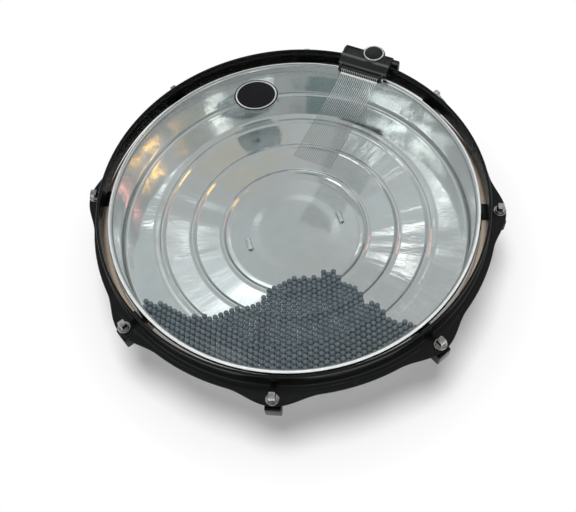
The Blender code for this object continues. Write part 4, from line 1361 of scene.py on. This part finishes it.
@dataclass
class Clip:
    """The moulded clip that straddles the rim, with its disc, pivot pin and clamp screw.

    The fields boss_lip, pin_head and the knob's three are steps of (radius, height) from a corner.
    """

    layout: Layout
    front: float = 0.1712
    rear: float = 0.1937
    low: float = 0.0875
    face_top: float = 0.0935
    shoulder: float = 0.0073
    roof: float = 0.0995
    foot: float = 0.0825
    width: float = 0.0534
    chamfer: float = 0.0018
    rounding: float = 0.0020
    end_edge: float = 0.0011
    jaw_width: float = 0.0620
    jaw_offset: float = -0.0026
    jaw_thickness: float = 0.0065
    jaw_drop: float = 0.0025
    jaw_round: float = 0.0028
    jaw_edge: float = 0.0016
    recess: float = 0.0012
    recess_past: float = 0.003
    recess_margins: Pair = (0.0098, 0.0030)
    recess_places: tuple[Pair, ...] = ((0.01625, 0.00775), (-0.0221, 0.0025))
    recess_round: float = 0.0007
    recess_edge: float = 0.0003
    boss_offset: float = -0.0055
    boss_reach: float = 0.0040
    boss_radius: float = 0.0120
    boss_root: float = 0.0967
    boss_top: float = 0.1007
    boss_lip: tuple[Pair, ...] = ((0, -0.0012), (-0.0004, -0.0004), (-0.0010, 0))
    disc_radius: float = 0.0106
    disc_low: float = 0.1010
    disc_top: float = 0.1018
    disc_sink: float = 0.00005
    disc_dome: float = 0.00025
    disc_border: float = 0.0015
    clamp_z: float = 0.0890
    clamp_radius: float = 0.0024
    clamp_steps: int = 24
    thread_pitch: float = 0.0009
    thread_depth: float = 0.0004
    screw_bore: float = 0.017
    pad_bore: float = 0.00365
    pad_radius: float = 0.0040
    pad_sheet: float = 0.0018
    pad_soft: float = 0.0004
    knob_radius: float = 0.0068
    knob_length: float = 0.0080
    knob_front: tuple[Pair, ...] = ((-0.0006, 0), (-0.0001, 0.0004), (0, 0.0010))
    knob_back: tuple[Pair, ...] = ((0, -0.0022), (-0.0003, -0.0012), (-0.0010, -0.0004), (-0.0022, -0.0001))
    knob_dimple: tuple[Pair, ...] = ((0.0026, 0), (0.0022, -0.0004), (0, -0.0005))
    knob_flutes: int = 12
    flute_from: float = 0.0040
    flute_depth: float = 0.0008
    pivot_x: float = 0.1662
    pivot_z: float = 0.0907
    pin_radius: float = 0.0011
    pin_tip: float = 0.0020
    pin_head: tuple[Pair, ...] = ((0, 0), (0.0008, 0), (0.0014, 0.0003), (0.0016, 0.0006), (0.0016, 0.0019))
    cheek_width: float = 0.0016
    cheek_radius: float = 0.0032
    cheek_back: float = 0.0029
    cheek_edge: float = 0.0005
    bar_length: float = 0.0440

    def body_shape(self) -> Surface:
        """The body: a nose over the film, a sloping face, a roof and a back.

        Returns:
            The shape in the clip's own axes.
        """
        middle = (self.layout.rim_in + self.layout.rim_out) / 2
        corners = np.array([(self.front, self.low), (middle, self.low), (middle, self.foot),
                            (self.rear, self.foot), (self.rear, self.roof - self.chamfer),
                            (self.rear - self.chamfer, self.roof), (self.front + self.shoulder, self.roof),
                            (self.front, self.face_top)])
        return prism(soft_loop(corners, self.rounding, 6), 0, self.width / 2, self.end_edge, 5)

    def jaw(self) -> Surface:
        """A wider block along the back."""
        top, half = self.roof - self.jaw_drop, self.jaw_width / 2
        outline = box_outline(self.rear - self.jaw_thickness, self.rear, self.foot, top)
        return prism(soft_loop(outline, self.jaw_round, 6), self.jaw_offset, half, self.jaw_edge, 5)

    def cheek(self, side: int) -> Surface:
        """An eye round the pin that runs back into the nose.

        Args:
            side: Which end of the bar it is at, -1 or 1.

        Returns:
            The shape in the clip's own axes.
        """
        half, r, back = self.cheek_width / 2, self.cheek_radius, self.front + self.cheek_back
        nose = arc(r, self.pivot_x, self.pivot_z, 270, 90, 15)
        outline = np.vstack([nose, [(back, self.pivot_z + r), (back, self.pivot_z - r)]])
        return prism(outline, side * (self.bar_length / 2 + self.layout.play + half), half, self.cheek_edge)

    def boss(self) -> Surface:
        """A round boss that swells out of the roof, with a rounded rim round the disc's seat.

        Returns:
            The shape in the clip's own axes.
        """
        r, top = self.boss_radius, self.boss_top
        lip = np.array(self.boss_lip) + (r, top)
        profile = np.vstack([[(0, self.boss_root), (r, self.boss_root)], lip, [(0, top)]])
        return turned(profile, 64).moved(self.over_boss())

    def recesses(self) -> list[Surface]:
        """Shallow trays sunk into the roof on both sides of the boss, as tools to cut with.

        Returns:
            One shape for each tray.
        """
        ahead, behind = self.recess_margins
        low, high = self.roof - self.recess, self.roof + self.recess_past
        loop = soft_loop(box_outline(self.front + ahead, self.rear - behind, low, high), self.recess_round, 4)
        return [prism(loop, *place, self.recess_edge) for place in self.recess_places]

    def over_boss(self) -> Matrix:
        """Move from the clip's origin to the boss."""
        return Matrix.Translation((self.layout.rim_out + self.boss_reach, self.boss_offset, 0))

    def body(self) -> Piece:
        """The body with jaw, boss and cheeks added and the rim's slot, the bores and the trays cut.

        Returns:
            The body in the clip's own axes.
        """
        at, play = self.layout, self.layout.play
        piece = self.body_shape().as_object("clip_moulding")
        work(piece, Join.ADD, self.jaw(), self.boss(), self.cheek(-1), self.cheek(1))
        slot = box_outline(at.rim_in - play, at.rim_out + play, at.flange_under, at.rim_top + play)
        pin = cylinder(self.pin_radius + play, -self.width, self.width)
        screw = cylinder(self.clamp_radius + play, 0, self.screw_bore)
        pad = cylinder(self.pad_radius + play, 0, self.pad_bore)
        through = along_x((at.rim_in + at.rim_out) / 2, self.jaw_offset, self.clamp_z)
        work(piece, Join.CUT, turned(slot, 360, ring=True),
             pin.moved(along_y(self.pivot_x, 0, self.pivot_z)),
             screw.moved(through), pad.moved(through), *self.recesses())
        # Painted highlight along these rounded edges, kept in the attribute edge.
        corners = [(self.front, self.face_top), (self.front + self.shoulder, self.roof),
                   (self.front, self.low), (self.rear - self.jaw_thickness, self.roof - self.jaw_drop)]
        mark_edge_highlight(piece, corners, self.rounding)
        return piece

    def disc(self) -> Surface:
        """A plate inside its bright border, lower by d u^2 at the share u of its radius.

        Returns:
            The plate about Z.
        """
        r, u = self.disc_radius - self.disc_border, np.linspace(0, 1, 10)
        dome = np.column_stack([r * u, self.disc_top - self.disc_sink - self.disc_dome * u**2])
        return turned(np.vstack([dome, [(r, self.disc_low), (0, self.disc_low)]]), 72)

    def border(self) -> Surface:
        """A half-round ring round the disc.

        Returns:
            The ring about Z.
        """
        inner, outer, half = self.disc_radius - self.disc_border, self.disc_radius, self.disc_border / 2
        crown = arc(half, (inner + outer) / 2, self.disc_top - half, 180, 0, 9)
        return turned(np.vstack([crown, [(outer, self.disc_low), (inner, self.disc_low)]]), 72, ring=True)

    def pin(self) -> Surface:
        """The pivot pin with a domed head outside each cheek.

        Returns:
            The pin about Z.
        """
        end = self.bar_length / 2 + self.layout.play + self.cheek_width + self.pin_tip
        head = np.array([*self.pin_head, (self.pin_radius, self.pin_head[-1][1])]) - (0, end)
        return turned(np.vstack([head, head[::-1] * (1, -1)]), 24)

    def knob(self, face: float) -> Surface:
        """A grip with flutes, hollow for the screw.

        The radius of the rim at angle a is r - f (0.5 - 0.5 cos(n a))^2, where n is the number of
        flutes and the depth f fades out towards the middle of the end.

        Args:
            face: Distance of its inner face from the drum's axis.

        Returns:
            The knob along Z.
        """
        r, end = self.knob_radius, face + self.knob_length
        socket = self.clamp_radius + self.layout.play
        socket_end = face + self.knob_length / 2 + self.layout.play
        hollow = [(0, socket_end), (socket, socket_end), (socket, face)]
        steps = ((self.knob_front, (r, face)), (self.knob_back, (r, end)), (self.knob_dimple, (0, end)))
        profile = np.vstack([hollow, *(np.array(step) + corner for step, corner in steps)])
        turn = angles(self.knob_flutes * 8)
        groove = (0.5 - 0.5 * np.cos(self.knob_flutes * turn)) ** 2
        radius, height = profile[:, :1], profile[:, 1:]
        on_rim = np.clip((radius - self.flute_from) / (r - self.flute_from), 0, 1)
        return grid(polar(radius - self.flute_depth * on_rim * groove, turn, height))

    def build(self) -> None:
        """Make the clip, then its pin, disc and clamp, and set them on the rim."""
        at, place, steps = self.layout, self.layout.in_clip(), self.clamp_steps
        body = self.body()
        body.data.transform(place)
        dress(body, MOULDING, "clip_body")
        over = place @ self.over_boss()
        show(self.disc().moved(over), "clip_plate", GLOSS, "clip_disc")
        show(self.border().moved(over), "clip_plate_border", CHROME)
        pin = self.pin().moved(place @ along_y(self.pivot_x, 0, self.pivot_z))
        show(pin, "snare_pin", CHROME, "pivot_pin")

        axis = place @ along_x(0, self.jaw_offset, self.clamp_z)
        low = at.rim_out + at.play
        top = low + self.pad_sheet
        edge = soft_disc(self.pad_radius, low, top, self.pad_soft)
        pad = turned(np.vstack([[(0, low)], edge, [(0, top)]]), 32)
        show(pad.moved(axis), "clamp_shoe", MOULDING, "clamp_pad")
        tip, face = top + at.play, self.rear + at.play
        end = face + self.knob_length / 2
        rows = threaded(self.clamp_radius, tip, end, self.thread_pitch, self.thread_depth, steps)
        ends = ring_rows(np.array([(0, tip), (0, end)]), steps)
        screw = grid(np.vstack([ends[:1], rows, ends[1:]]))
        show(screw.moved(axis), "clamp_thread", CHROME, "clamp_screw", body=Body.CLAMP.value)
        show(self.knob(face).moved(axis), "clamp_grip", MOULDING, "clamp_knob", body=Body.CLAMP.value)


@dataclass
class Snare:
    """The bar that turns on the clip's pin, and the coiled strands soldered to its plate."""

    layout: Layout
    clip: Clip
    half_depth: float = 0.0026
    above: float = 0.0022
    below: float = 0.0032
    bar_round: float = 0.0009
    bar_edge: float = 0.0004
    notch_reach: Pair = (-0.0040, -0.0006)
    notch_half: float = 0.0006
    notch_depth: float = 0.0008
    notch_past: float = 0.001
    plate_sheet: float = 0.0007
    plate_drop: float = 0.0023
    plate_lip: float = 0.0020
    plate_back: float = 0.0008
    plate_round: float = 0.0002
    plate_edge: float = 0.0001
    strands: int = 20
    pitch: float = 0.00205
    length: float = 0.1160
    slope: float = 0.0120
    lie: float = -0.0056
    wire_start: Pair = (-0.0010, -0.0005)
    wire_off_bar: float = 0.0004
    wire_past_plate: float = 0.0012
    wire_bend: float = 0.004
    wire_radius: float = 0.00023
    wire_sides: int = 4
    coil_radius: float = 0.00030
    coil_from: Pair = (0.0085, 0.0115)
    coil_pitch: float = 0.0016
    steps_a_turn: int = 9
    # Painted light on the curls: the tops get a painted highlight and the undersides painted shade, and the
    # strands turn darker towards their free ends.
    top_share: float = 0.6
    dark_end_from: Pair = (0.030, 0.065)
    dark_end_share: float = 0.05
    drop_size: Triple = (0.0009, 0.0007, 0.00055)
    drop_back: float = 0.0011
    seed: int = 11

    def tracks(self) -> Array:
        """Places of the strands along the bar."""
        return (np.arange(self.strands) - (self.strands - 1) / 2) * self.pitch

    def front(self) -> float:
        """Where the plate's front edge is."""
        return -self.half_depth - self.plate_lip

    def on_plate(self) -> float:
        """Height of a wire's middle where it lies on the plate."""
        return -self.plate_drop + self.plate_sheet / 2 + self.wire_radius

    def bar(self) -> Piece:
        """A rounded bar with a slot for the plate, the pin's bore and a notch above each strand.

        Returns:
            The bar about the pin's axis.
        """
        half, play, tracks = self.clip.bar_length / 2, self.layout.play, self.tracks()
        outline = box_outline(-self.half_depth, self.half_depth, -self.below, self.above)
        shape = prism(soft_loop(outline, self.bar_round), 0, half, self.bar_edge)
        piece = shape.as_object("pivot_bar")
        half_width = self.strands * self.pitch / 2 + play
        low = -self.plate_drop - self.plate_sheet / 2 - play
        slot = block((-2 * self.half_depth, -half_width, low),
                     (self.plate_back + play, half_width, low + self.plate_sheet + 2 * play))
        notch = block((self.notch_reach[0], -self.notch_half, self.above - self.notch_depth),
                      (self.notch_reach[1], self.notch_half, self.above + self.notch_past))
        bore = cylinder(self.clip.pin_radius + play, -2 * half, 2 * half, 24).moved(along_y(0, 0, 0))
        places = np.column_stack([0 * tracks, tracks, 0 * tracks])
        work(piece, Join.CUT, slot, bore, notch.scattered(places))
        # Painted highlight along the bar's top edges, kept in the attribute edge.
        mark_edge_highlight(piece, [(x, self.above) for x in (-self.half_depth, self.half_depth)], self.bar_round)
        return piece

    def coils(self) -> Surface:
        """All strands: a wire wound on a line from the bar's notch over the plate and down to the film.

        With s along the line and a = 2 pi s / pitch, the wire's middle is the line plus
        c (cos a across + sin a upright), where c grows from 0 at the plate to the coil's radius.

        Returns:
            The strands about the pin's axis.
        """
        front, lift = self.front(), self.on_plate()
        start, notch = self.wire_start[0], self.above + self.wire_start[1]
        face = -self.half_depth - self.wire_off_bar
        corners = np.array([(start, notch), (face, notch), (face, lift), (front - self.wire_past_plate, lift),
                            (front - self.slope, self.lie), (front - self.length, self.lie)])
        line = soft_path(corners, self.wire_bend)
        run = np.concatenate([[0], np.cumsum(np.linalg.norm(np.diff(line, axis=0), axis=1))])
        s = np.linspace(0, run[-1], int(run[-1] / self.coil_pitch * self.steps_a_turn))
        x, z = (np.interp(s, run, column) for column in line.T)
        phase = np.random.default_rng(self.seed).uniform(0, TAU, self.strands)
        turn = TAU * s / self.coil_pitch + phase[:, None]
        grow = self.coil_radius * np.interp(s, self.coil_from, (0, 1))
        y = self.tracks()[:, None] + grow * np.cos(turn)
        middle = np.stack([x + 0 * y, y, z + grow * np.sin(turn)], axis=-1)
        ahead = np.gradient(middle, axis=1)
        ahead /= np.linalg.norm(ahead, axis=-1, keepdims=True)
        out = np.stack([0 * turn, np.cos(turn), np.sin(turn)], axis=-1)
        out -= (out * ahead).sum(axis=-1, keepdims=True) * ahead
        out /= np.linalg.norm(out, axis=-1, keepdims=True)
        around = angles(self.wire_sides)[:, None]
        ring = np.cos(around) * out[:, :, None] + np.sin(around) * np.cross(ahead, out)[:, :, None]
        wires = middle[:, :, None] + self.wire_radius * ring
        return reduce(add, [grid(points, caps=True) for points in wires])

    def painted_curl_light(self, points: Array) -> Array:
        """Painted light of each point: 1 on the plate, and on the curls a painted highlight on top that falls
        to painted shade below, darker towards the free ends.

        A point at height h over its strand's line has k (1 + h / c) between 0 and 1, where c is the
        coil's radius, and this falls evenly to a small share towards the free ends.

        Args:
            points: Places about the pin's axis.

        Returns:
            Values from 0 to 1.
        """
        beyond = self.front() - self.wire_past_plate - points[:, 0]
        line = np.interp(beyond, (0, self.slope - self.wire_past_plate), (self.on_plate(), self.lie))
        on_top = np.clip(self.top_share * (1 + (points[:, 2] - line) / self.coil_radius), 0, 1)
        return np.where(beyond > 0, on_top * np.interp(beyond, self.dark_end_from, (1, self.dark_end_share)), 1.0)

    def solder(self) -> Surface:
        """A drop on the plate at each strand: a quarter circle carried round Z and flattened.

        Returns:
            The drops about the pin's axis.
        """
        v = np.linspace(0, math.pi / 2, 4)
        drop = turned(np.vstack([np.column_stack([np.sin(v), np.cos(v)]), [(0, 0)]]), 10)
        drop.points *= self.drop_size
        y = self.tracks()
        x, z = self.front() + self.drop_back, -self.plate_drop + self.plate_sheet / 2
        return drop.scattered(np.column_stack([x + 0 * y, y, z + 0 * y]))

    def build(self) -> None:
        """Make the bar and the strands with their plate, about the clip's pin."""
        place = self.layout.in_clip() @ Matrix.Translation((self.clip.pivot_x, 0, self.clip.pivot_z))
        half_sheet = self.plate_sheet / 2
        outline = box_outline(self.front(), self.plate_back, -self.plate_drop - half_sheet,
                              -self.plate_drop + half_sheet)
        plate = prism(soft_loop(outline, self.plate_round, 3), 0, self.strands * self.pitch / 2,
                      self.plate_edge, 3)
        bar, strands = self.bar(), (plate + self.coils() + self.solder()).as_object("snare_strands", 60)
        # Painted highlight on the tops of the curls and painted shade below, kept in the attribute edge.
        keep_mark(strands, "edge", self.painted_curl_light(points_of(strands)))
        for piece, finish, node in ((bar, MOULDING, "snare_bar"), (strands, WIRE, "snare_wires")):
            piece.data.transform(place)
            dress(piece, finish, node, body=Body.SNARE.value)


@dataclass
class Beads:
    """Loose beads, one layer deep, packed against the near wall of the pan."""

    pan: Pan
    diameter: float = 0.00542
    pitch: float = 0.0056
    clear: float = 0.0039
    lift: float = 0.0003
    pack_turn: float = math.radians(12)
    lattice_share: float = 1.3
    warp: float = 0.0009
    wave: float = 0.1800
    degrees: tuple[float, ...] = (-165, -164, -162, -157, -150, -147, -145, -139, -133, -128, -124, -121,
                                  -114, -97, -87, -75, -70, -69, -68, -67, -65, -63, -62)
    reaches: tuple[float, ...] = (0.000, 0.016, 0.021, 0.025, 0.030, 0.036, 0.048, 0.060, 0.073, 0.088,
                                  0.100, 0.107, 0.114, 0.118, 0.113, 0.115, 0.112, 0.094, 0.060, 0.035,
                                  0.022, 0.010, 0.000)
    lump_degrees: float = 3.0
    lump_reach: float = 0.0325
    lump_pitch: float = 0.0300
    jitter: float = 0.00003
    seed: int = 23

    def places(self) -> Array:
        """Where the beads lie.

        A hexagonal lattice, gently warped and turned, is kept where it lies within the pile's reach
        from the wall, which swells in lumps. Each bead rests on the highest of the floor's points
        under it: the largest of floor(r + d) + sqrt(R^2 - d^2) for steps d within its radius R, plus
        a lift that clears the sheet's waves at every turn of the pile.

        Returns:
            Centres, one row each.
        """
        count = int(self.pan.wall_radius / self.pitch * self.lattice_share)
        span = np.arange(-count, count + 1)
        row, column = np.meshgrid(span, span, indexing="ij")
        u = (column + 0.5 * (row % 2)).ravel() * self.pitch
        v = row.ravel() * self.pitch * math.sqrt(3) / 2
        along = u + self.warp * np.sin(TAU * v / self.wave)
        across = v + self.warp * np.sin(TAU * u / self.wave)
        c, s = math.cos(self.pack_turn), math.sin(self.pack_turn)
        x, y = c * along - s * across, s * along + c * across
        inward = self.pan.wall_radius - np.hypot(x, y)
        lump = 0.5 + 0.5 * np.cos(TAU * (inward - self.lump_reach) / self.lump_pitch)
        turn = np.degrees(np.arctan2(y, x)) + self.lump_degrees * lump
        reach = np.interp(turn, self.degrees, self.reaches, left=0, right=0)
        keep = (inward > self.clear) & (inward < reach)
        shake = np.random.default_rng(self.seed).uniform(-self.jitter, self.jitter, (2, keep.sum()))
        x, y = x[keep] + shake[0], y[keep] + shake[1]
        radius = self.diameter / 2
        d = np.linspace(-1, 1, 21) * radius
        under = self.pan.floor(np.hypot(x, y)[:, None] + d) + np.sqrt(np.maximum(radius**2 - d**2, 0))
        return np.column_stack([x, y, under.max(axis=1) + self.pan.layout.play + self.lift])

    def build(self) -> None:
        """Make all beads, a half circle carried round Z each, as one piece with each bead's own tone."""
        places, v = self.places(), np.linspace(0, math.pi, 6)
        ball = turned(self.diameter / 2 * np.column_stack([np.sin(v), np.cos(v)]), 12)
        piece = ball.scattered(places).as_object("loose_beads", 180)
        tones = np.random.default_rng(self.seed + 1).uniform(0, 1, len(places))
        keep_mark(piece, "tone", np.repeat(tones, len(ball.points)))
        dress(piece, SLATE, "bead_pile", body=Body.BEADS.value)
        LOG.info("%d beads", len(places))


@dataclass
class OvalPlate:
    """A bare oval plate on the film, black inside a bright border.

    Profiles are (share of the oval, share of the rise).
    """

    layout: Layout
    reach: float = 0.1376
    turn: float = math.radians(88)
    tilt: float = math.radians(-17.5)
    half_long: float = 0.0230
    half_short: float = 0.0210
    rise: float = 0.0009
    gap: float = 0.00005
    top: float = 0.80
    top_share: float = 0.97
    dome: float = 0.12
    edge: tuple[Pair, ...] = ((0.995, 0.5), (1.0, 0.25), (1.0, 0.15), (0, 0.15))
    back: tuple[Pair, ...] = ((0, 0.15), (0.985, 0.15), (0.99, 0.075), (0.985, 0), (0, 0))
    border: Pair = (0.865, 0.945)
    border_rise: Pair = (0.66, 0.34)
    border_low: float = 0.3

    def show_oval(self, profile: Array, name: str, finish: Finish) -> None:
        """Carry a profile round the oval and show it in place on the film.

        Args:
            profile: Points of the profile. One that starts off the axis is a closed loop.
            name: Name of the piece.
            finish: Its finish.
        """
        rows = ring_rows(profile, 96) * (self.half_long, self.half_short, self.rise)
        x, y = self.reach * math.cos(self.turn), self.reach * math.sin(self.turn)
        place = Matrix.Translation((x, y, self.layout.head_z + self.gap)) @ Matrix.Rotation(self.tilt, 4, "Z")
        show(grid(rows, ring=bool(profile[0, 0])).moved(place), name, finish)

    def build(self) -> None:
        """Make the plate, lower by d u^2 at the share u, its backing and its half-round border."""
        u, v = np.linspace(0, self.top_share, 10), np.linspace(0, math.pi, 9)
        top = np.column_stack([u, self.top - self.dome * u**2])
        self.show_oval(np.vstack([top, self.edge]), "oval_plate", GLOSS)
        self.show_oval(np.array(self.back), "oval_plate_back", BACKING)
        inner, outer = self.border
        middle, half = (inner + outer) / 2, (outer - inner) / 2
        low, bulge = self.border_rise
        crown = np.column_stack([middle - half * np.cos(v), low + bulge * np.sin(v)])
        loop = np.vstack([crown, [(outer, self.border_low), (inner, self.border_low)]])
        self.show_oval(loop, "oval_plate_border", CHROME)


@dataclass(frozen=True)
class Panel:
    """A patch of the room: its azimuth, height and half sizes in degrees, its colour and its core's share."""

    turn: float
    rise: float
    wide: float
    high: float
    colour: Colour
    core: float = 0.35


@dataclass
class Stage:
    """A pale floor that fades to white, soft light and the camera."""

    eye: Triple = (-0.08583, -0.38743, 0.65059)
    look: Triple = (0.09649, 0.49819, -0.86168)
    up: Triple = (0.29223, 0.81339, 0.50299)
    lens: float = 45.15
    sensor: float = 36.0
    clip: Pair = (0.01, 50.0)
    floor_radius: float = 6.0
    floor_gap: float = 0.0001
    floor_tones: tuple[Colour, Colour] = ((0.79, 0.79, 0.80), (0.81, 0.81, 0.815))
    floor_cloud: Pair = (8.0, 1.0)
    floor_roughness: float = 0.9
    floor_specular: float = 0.1
    lamp_place: Triple = (-0.02, 0.05, 2.10)
    lamp_aim: Triple = (0, 0, 0.05)
    lamp_size: float = 1.0
    lamp_power: float = 43.0
    fill: float = 0.22
    white_from: Pair = (0.212, 0.250)
    diffuse_share: float = 0.30
    room: tuple[Colour, Colour] = ((0.415, 0.425, 0.43), (0.53, 0.545, 0.545))
    panels: tuple[Panel, ...] = (
        Panel(98, 57, 12, 9, (0.60, 0.64, 0.645), 0.0),
        Panel(60, 53, 13, 9, (0.80, 0.825, 0.83), 0.0),
        Panel(57, 70, 9, 8, (0.56, 0.53, 0.45), 0.1),
        Panel(-36, 48, 13, 9, (0.58, 0.57, 0.50), 0.3),
        Panel(66, 41, 14, 12, (1.15, 1.19, 1.20), 0.15),
        Panel(70, 41, 8, 7, (1.75, 1.78, 1.78), 0.1),
        Panel(93, 50, 2.6, 3.0, (2.3, 2.3, 2.3)),
        Panel(58, 54.5, 1.7, 1.7, (1.8, 1.84, 1.84)),
        Panel(96, 67, 2.4, 2.4, (1.3, 1.35, 1.35)),
        Panel(-136, 48, 17, 17, (0.17, 0.24, 0.245), 0.6),
        Panel(-170, 50, 7.0, 8.0, (1.95, 2.08, 2.05)),
        Panel(178, 49, 6.0, 7.0, (2.40, 2.48, 2.44)),
        Panel(157, 50, 7.0, 7.0, (1.85, 1.92, 1.86)),
        Panel(142, 50, 5.0, 6.0, (1.05, 1.14, 1.13)),
        Panel(-62, 48, 9.5, 6.0, (1.95, 1.98, 1.88)),
        Panel(-30, 49, 2.4, 4.0, (1.5, 1.00, 0.60)),
        Panel(-8, 48, 4.5, 5.0, (3.4, 1.90, 0.64)),
        Panel(5, 48, 3.4, 4.0, (3.4, 1.85, 0.62)),
        Panel(18, 50, 2.4, 3.0, (1.2, 0.70, 0.64)),
        Panel(26, 50, 2.2, 6.0, (2.7, 1.25, 1.05)),
        Panel(-90, 38, 7, 7, (3.0, 3.0, 3.0)),
    )

    def camera(self) -> None:
        """Place the camera: its axes are right, up and back."""
        data = bpy.data.cameras.new("view")
        data.lens, data.sensor_width = self.lens, self.sensor
        data.clip_start, data.clip_end = self.clip
        look, up = Vector(self.look).normalized(), Vector(self.up).normalized()
        right = look.cross(up).normalized()
        axes = Matrix((right, right.cross(look), -look)).transposed().to_4x4()
        camera = bpy.data.objects.new("view", data)
        camera.matrix_world = Matrix.Translation(self.eye) @ axes
        bpy.context.scene.collection.objects.link(camera)
        bpy.context.scene.camera = camera

    def lamp(self) -> None:
        """One large soft lamp overhead. Metal reflects the room, not the lamp."""
        data = bpy.data.lights.new("softbox", "AREA")
        data.shape, data.size, data.energy = "DISK", self.lamp_size, self.lamp_power
        lamp = bpy.data.objects.new("softbox", data)
        lamp.location = self.lamp_place
        aim = Vector(self.lamp_aim) - Vector(self.lamp_place)
        lamp.rotation_euler = aim.to_track_quat("-Z", "Y").to_euler()
        lamp.visible_glossy = False
        bpy.context.scene.collection.objects.link(lamp)

    def floor(self) -> None:
        """A round floor, lit and shaded near the drum, that fades to plain white further out."""
        rim = ring_rows(np.array([(self.floor_radius, -self.floor_gap)]), 96)[0]
        piece = Surface(rim, [np.arange(len(rim))[None]]).as_object("floor")
        made = Recipe("pale_floor")
        made.wire(Base_Color=made.blend(made.cloud(*self.floor_cloud), *self.floor_tones),
                  Roughness=self.floor_roughness, Specular_IOR_Level=self.floor_specular)
        distance = made.vector("LENGTH", made.place).outputs["Value"]
        fade = made.spread(distance, 0.0, 1.0, *self.white_from)
        path = made.node("ShaderNodeLightPath").outputs
        seen = made.maths("MAXIMUM", path["Is Camera Ray"], path["Is Glossy Ray"])
        seen = made.maths("MAXIMUM", seen, path["Is Transmission Ray"])
        white = made.node("ShaderNodeEmission", {"Color": (1, 1, 1, 1), "Strength": 1.0}).outputs[0]
        glow = made.maths("MULTIPLY", seen, made.spread(fade, self.fill, 1.0))
        made.mix_out(glow, made.shader.outputs[0], white)
        piece.data.materials.append(made.material)

    def world(self) -> None:
        """A grey room with bright panels, which the metal mirrors. The camera sees white.

        Each panel is an ellipse, whose share falls smoothly from 1 at its core to 0 at its edge.
        """
        world = bpy.data.worlds.new("room")
        world.use_nodes = True
        bpy.context.scene.world = world
        sketch = Sketch(world.node_tree)
        way = sketch.node("ShaderNodeTexCoord").outputs["Generated"]
        height = sketch.node("ShaderNodeSeparateXYZ", {0: way}).outputs[2]
        colour = sketch.blend(sketch.spread(height, 0.0, 1.0), *self.room)
        for panel in self.panels:
            turn, rise, wide, high = np.radians([panel.turn, panel.rise, panel.wide, panel.high])
            centre = (math.cos(rise) * math.cos(turn), math.cos(rise) * math.sin(turn), math.sin(rise))
            values = {"Vector": way, "Location": centre, "Rotation": (0.0, 0.0, turn),
                      "Scale": (1.0, math.sin(wide), math.sin(high) * math.cos(rise))}
            near = sketch.node("ShaderNodeMapping", values, vector_type="TEXTURE").outputs[0]
            off = sketch.vector("LENGTH", near).outputs["Value"]
            share = sketch.spread(off, 0.0, 1.0, 1.0, panel.core, interpolation_type="SMOOTHSTEP")
            colour = sketch.blend(share, colour, panel.colour)
        path = sketch.node("ShaderNodeLightPath").outputs
        colour = sketch.blend(path["Is Camera Ray"], colour, (1.0, 1.0, 1.0))
        dim = sketch.spread(path["Is Diffuse Ray"], 1.0, self.diffuse_share)
        sketch.feed(sketch.tree.nodes["Background"].inputs, {"Color": colour, "Strength": dim})

    def build(self) -> None:
        """Set the stage."""
        bpy.context.scene.view_settings.view_transform = "Standard"
        self.camera()
        self.lamp()
        self.floor()
        self.world()


def main() -> None:
    """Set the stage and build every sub-assembly in turn."""
    logging.basicConfig(level=logging.INFO, format="%(name)s: %(message)s")
    layout = Layout()
    pan, handle, clip = Pan(layout), Handle(layout), Clip(layout)
    Stage().build()
    pan.build(handle)
    handle.build()
    Head(layout).build()
    Rim(layout).build()
    Lugs(layout).build()
    clip.build()
    Snare(layout, clip).build()
    Beads(pan).build()
    OvalPlate(layout).build()


if __name__ == "__main__":
    main()
